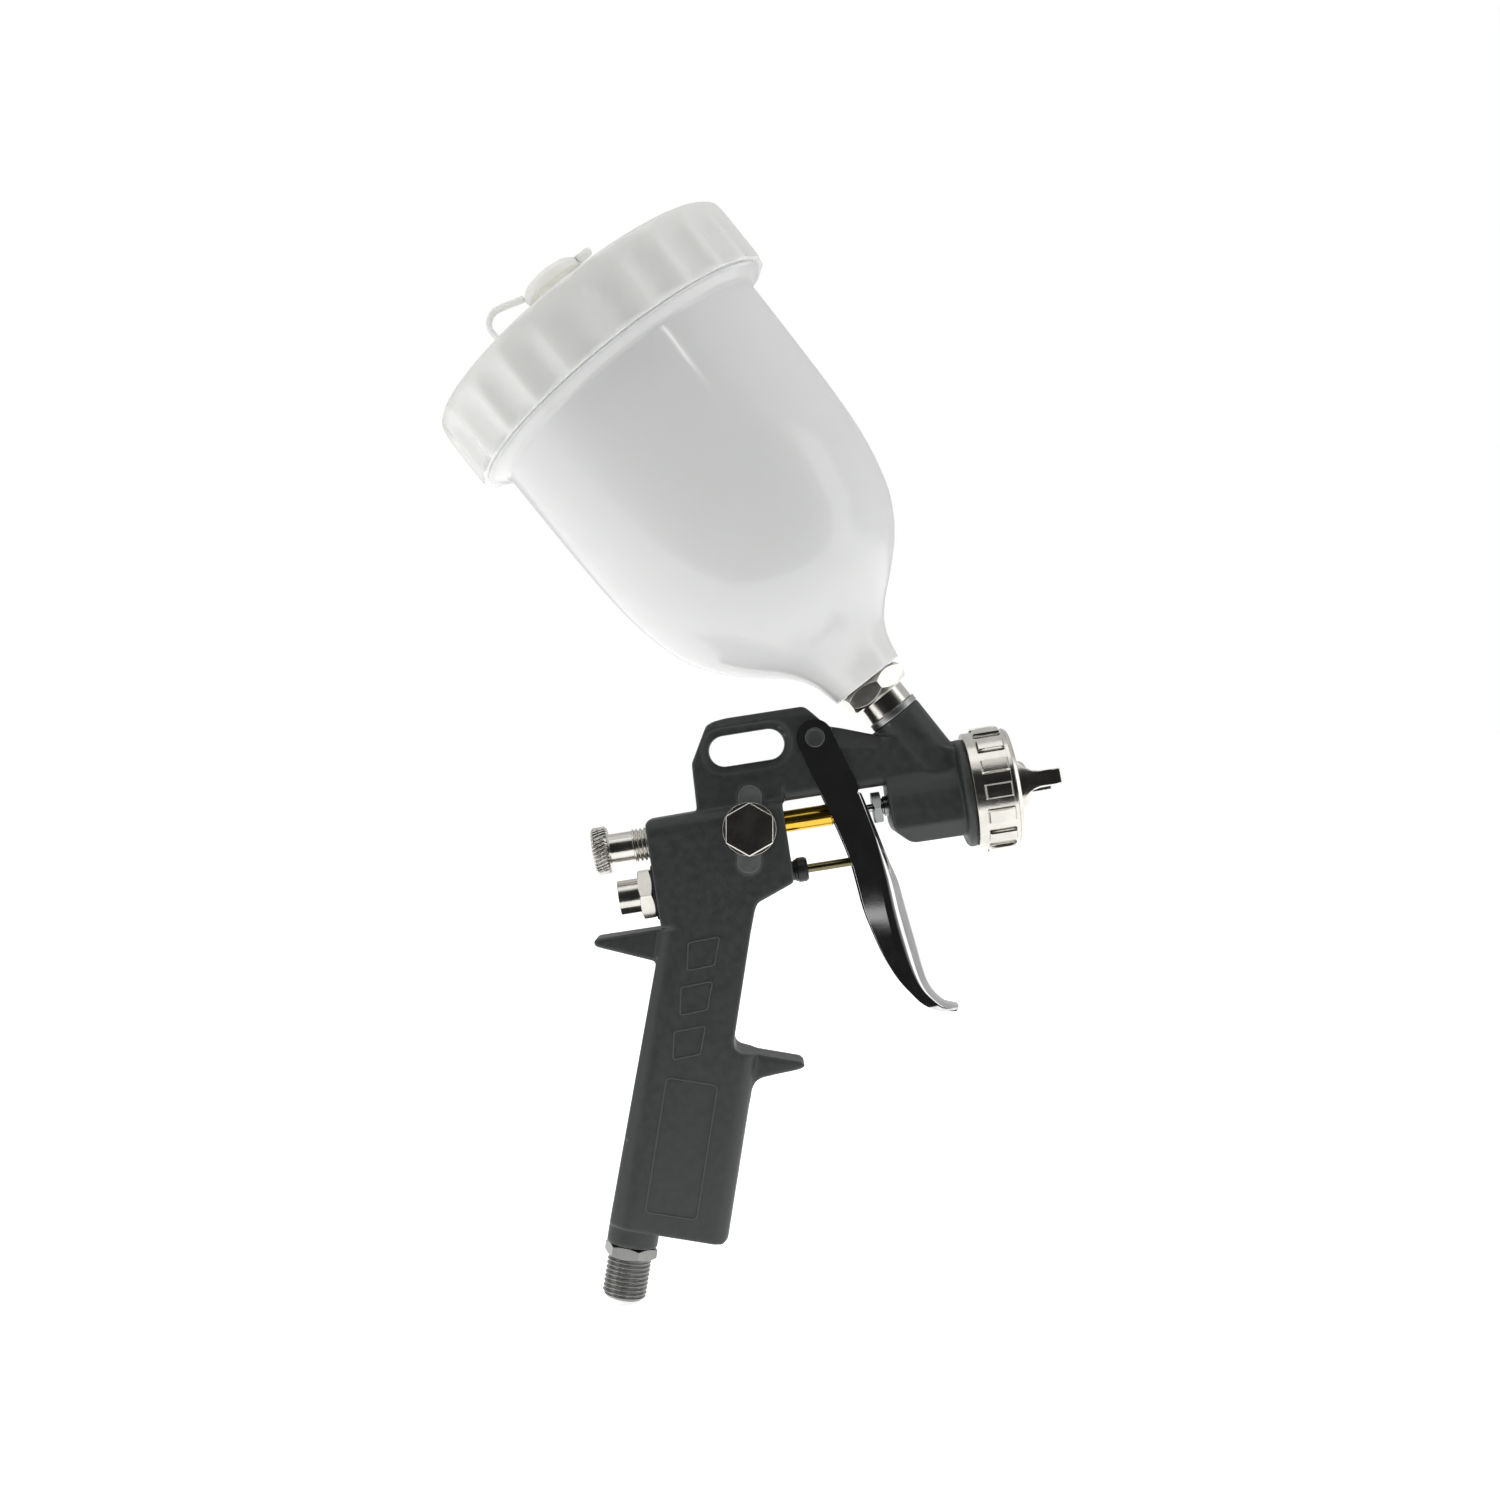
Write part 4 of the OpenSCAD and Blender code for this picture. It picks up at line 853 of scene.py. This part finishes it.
CUP_H = 117  # where the lid's skirt ends, above the cup's foot
WALL = 1.7
CUP_LINE = [(0, 11.6), (5.6, 12.8), (8.6, 13.9), (11.6, 15.6), (14.6, 18.2), (17.4, 21.1),
            (20, 24.2), (25, 29.7), (29.8, 34), (35.3, 37.7), (41.2, 40.5), (47.7, 42.4),
            (55, 43.9), (63, 44.9), (75, 45.6), (90, 45.95), (112.6, 46.2)]
wall = [tuple(p) for p in spline(CUP_LINE, per=5)]
lining = [(z + (0.6 if z < 30 else 0), r - WALL) for z, r in wall if z > 13.5]
outside = rounded([(0.0, 8.05), (0.0, 11.0, 0.5)] + wall, 0.0)
mouth = rounded([
    (113.0, 46.22), (114.3, 46.9, 0.8), (116.2, 49.9, 0.6), (CUP_H - 0.6, 51.2, 0.3),
    (CUP_H - 0.01, 51.3, 0.1), (CUP_H - 0.01, 48.4, 0.2), (134.2, 48.4, 0.4), (134.2, 44.3, 0.4),
    (109.0, 44.3, 0.6),
], 0.4)
throat = [(11.2, 11.5), (11.0, 7.8), (9.1, 7.8), (9.1, 8.05)]
cup = Piece("cup_moulding")
cup.turned(CUP, outside + mouth + lining[::-1] + throat, angles=even(144), ring=True)
cup.done("gun", "cup_plastic", ["paint_cup"])

LID_R = 53.35
LID_H = 21.5
FLUTES = 24
LID_TOP = CUP_H + LID_H


def fluted(z, r, depth):
    """Radius of the lid at an angle: broad shallow hollows between narrow ridges."""
    def at_angle(a):
        wave = abs((a * FLUTES / (2 * math.pi)) % 1 - 0.5) * 2
        hollow = math.cos(min(1, wave * 1.12) * math.pi / 2) ** 0.9
        return z, r - depth * hollow * 1.35
    return at_angle


lid = Piece("cup_lid_moulding")
# height on the skirt, how far inside the lid's radius, and how deep the flutes are there
sides = [(0.0, 0.5, 0.15), (0.15, 0.2, 0.35), (0.5, 0.05, 0.8), (1.1, 0, 1.15)]
sides += [(2.2 + 1.2 * k, 0, 1.3) for k in range(9)]
sides += [(13.2, 0, 1.2), (14.8, 0.05, 0.95), (16.4, 0.1, 0.65), (18.0, 0.2, 0.35),
          (19.4, 0.4, 0.12), (20.4, 0.7, 0), (21.1, 1.5, 0), (21.45, 2.6, 0)]
skirt = [fluted(CUP_H + z, LID_R - inside, depth) for z, inside, depth in sides]
top = [(LID_TOP, 49.5), (LID_TOP, 42.0), (LID_TOP - 0.1, 41.0), (LID_TOP - 0.45, 40.4),
       (LID_TOP - 0.5, 39.4), (LID_TOP - 0.5, 24), (LID_TOP - 0.5, 0)]
under = rounded([
    (LID_TOP - 2.8, 0), (LID_TOP - 2.8, 49.2, 0.8), (CUP_H, 49.2, 0.5), (CUP_H, 51.5),
], 0.4)
lid.turned(CUP, under + skirt + top, angles=even(FLUTES * 12))
lid_obj = lid.done("lid", "lid_plastic", ["cup_lid"])

# ---------- vent plug and its tether ----------
VENT_OFF = Vector((-1, -20, 0))  # from the lid's middle, in the cup's own directions
VENT_AT = CUP_FOOT + CUP_UP * LID_TOP + (CUP.to_3x3() @ VENT_OFF) / MM
VENT = place(VENT_AT, CUP_UP, (1, 0, 0))
VENT_R = 3.6


def pierced(obj, at, r, z0, z1):
    """Drills a round hole through a finished piece."""
    drill = Piece("drill").turned(at, [(z0, 0), (z0, r), (z1, r), (z1, 0)], angles=even(48))
    tool = linked("drill", drill.mesh())
    cut = obj.modifiers.new("hole", "BOOLEAN")
    cut.object = tool
    cut.operation = "DIFFERENCE"
    cut.solver = "EXACT"
    obj.data = applied(obj)
    obj.modifiers.clear()
    obj.data.set_sharp_from_angle(angle=math.radians(35))
    bpy.data.objects.remove(tool)


pierced(lid_obj, VENT, VENT_R, -6, 2)
vent = Piece("vent_plug_moulding")
vent.turned(VENT, rounded([
    (-4, 0), (-4, 3.3, 0.5), (0.1, VENT_R - 0.05, 0.1), (0.1, 6.4, 0.5), (7.2, 6.9, 0.4),
    (7.3, 9.5, 0.5), (9.6, 9.75, 0.5), (11.0, 8.0, 1.0), (11.9, 5, 1.0), (11.9, 0),
], 0.4), angles=even(64))
tab = rounded([
    (6, -3.1), (13.2, -2.9), (14.3, -1.6), (14.3, 1.6), (13.2, 2.9), (6, 3.1),
], 1.0, closed=True)
vent.prism(VENT, tab, 8.4, 9.8)
vent.done("vent_plug", "vent_plastic", ["vent_plug"], bevel=0.35, steps=3)

strap_path = spline([
    (-9.4, 0, 10.2), (-10.9, 0, 10.4), (-14.5, 0, 11.6), (-18.2, 0, 12.4), (-20.7, 0, 11.7),
    (-22.4, 0, 9.9), (-22.7, 0, 7.4), (-22.2, 0, 3), (-21.3, 0, 1.2), (-19.5, 0, 0.9),
], per=4)
strap = Piece("vent_strap_loop")
strap.tube(VENT, strap_path, 0.8, sides=14, flat=3.4)
strap.done("lid", "vent_plastic", ["vent_strap"])

# ---------- studio ----------
FLOOR_GAP = 0.0005
FLOOR_GLOW = 0.8  # keeps the floor as pale as the backdrop
# the floor ends just in front of the gun, so polished metal mirrors no floor on the camera's side
FLOOR_SIDE, FLOOR_FRONT, FLOOR_BACK = 1.6, -0.24, 2.4


def floor_material(shade=0.8):
    color = (shade,) * 3
    mat, tree, shader = new_material("floor_white", color, roughness=0.8)
    shader.inputs["Emission Color"].default_value = (1, 1, 1, 1)
    shader.inputs["Emission Strength"].default_value = FLOOR_GLOW
    low = tuple(c * 0.99 for c in color)
    patch = ramp(tree, noise(tree, 2, detail=2), 0.3, 0.7, low, color)
    tree.links.new(patch, shader.inputs["Base Color"])
    return mat


def add_floor():
    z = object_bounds()[0].z - FLOOR_GAP
    corners = [(-FLOOR_SIDE, FLOOR_FRONT, z), (FLOOR_SIDE, FLOOR_FRONT, z),
               (FLOOR_SIDE, FLOOR_BACK, z), (-FLOOR_SIDE, FLOOR_BACK, z)]
    mesh = bpy.data.meshes.new("floor")
    mesh.from_pydata(corners, [], [range(len(corners))])
    mesh.materials.append(floor_material())
    linked("floor", mesh)


add_floor()


def area(name, power, size, at, aim):
    data = bpy.data.lights.new(name, "AREA")
    data.energy = power
    data.shape = "RECTANGLE"
    data.size, data.size_y = size
    obj = linked(name, data)
    obj.location = at
    obj.rotation_mode = "QUATERNION"
    obj.rotation_quaternion = (Vector(aim) - Vector(at)).to_track_quat("-Z", "Y")
    return obj


middle = (cad_box[0] + cad_box[1]) / 2
SOFT_BOXES = (  # name, power in watts, width and height, and where it stands from the middle
    ("top_box", 3.4, (1.5, 1.0), (-0.1, -0.30, 1.0)),
    ("left_box", 1.1, (0.5, 0.9), (-0.95, -0.35, 0.25)),
    ("right_box", 1.2, (0.35, 0.9), (0.95, -0.25, 0.15)),
    ("front_fill", 4.4, (1.0, 1.0), (0, -1.1, 0.1)),
)
for name, power, size, off in SOFT_BOXES:
    box = area(name, power, size, middle + Vector(off), middle)
    box.visible_glossy = name != "front_fill"
# two small lights that matter only as reflections: the spark on the cup, and the pale band
# across the trigger's cheek
SPARK_AT, SPARK_ON_CUP = (0.347, -0.512, 0.548), (0.0606, -0.0439, 0.2606)
CARD_AT, CARD_ON_CHEEK = (0.1266, -0.600, 0.0407), (0.0933, -0.0089, 0.0962)
spark = area("spark", 0.04, (0.010, 0.045), SPARK_AT, SPARK_ON_CUP)
card = area("card", 0.0016, (0.09, 0.009), CARD_AT, CARD_ON_CHEEK)
for small in (spark, card):
    small.visible_camera = False

world = bpy.data.worlds.new("studio")
bpy.context.scene.world = world
world.use_nodes = True
tree = world.node_tree
background = tree.nodes["Background"]
where = node(tree, "ShaderNodeTexCoord")
split = node(tree, "ShaderNodeSeparateXYZ")
tree.links.new(where.outputs["Generated"], split.inputs["Vector"])
# the side of the room that the camera stands in is dark, so plated metal shows dark middles and
# bright edges
dark_side = node(tree, "ShaderNodeMapRange", interpolation_type="SMOOTHSTEP", From_Min=-0.72,
                 From_Max=-0.35, To_Min=0.02, To_Max=0.62)
tree.links.new(split.outputs["Y"], dark_side.inputs["Value"])
seen = node(tree, "ShaderNodeLightPath")
choose = node(tree, "ShaderNodeMix", data_type="FLOAT")
tree.links.new(seen.outputs["Is Camera Ray"], choose.inputs["Factor"])
tree.links.new(dark_side.outputs["Result"], choose.inputs["A"])
choose.inputs["B"].default_value = 1.0
tree.links.new(choose.outputs["Result"], background.inputs["Strength"])
background.inputs["Color"].default_value = (1, 1, 1, 1)

# ---------- camera ----------
ROLL = math.radians(9)  # the photograph holds the gun this far from its upright frame
LENS, SENSOR = 46.48, 36
CAMERA_AT = (0.0611, -0.581, 0.1499)
camera_data = bpy.data.cameras.new("camera")
camera_data.sensor_width = SENSOR
camera_data.lens = LENS
camera = linked("camera", camera_data)
camera.matrix_world = Matrix((
    (math.cos(ROLL), math.sin(ROLL), 0, CAMERA_AT[0]),
    (0, 0, -1, CAMERA_AT[1]),
    (-math.sin(ROLL), math.cos(ROLL), 0, CAMERA_AT[2]),
    (0, 0, 0, 1),
))
bpy.context.scene.camera = camera
bpy.context.scene.view_settings.view_transform = "Standard"
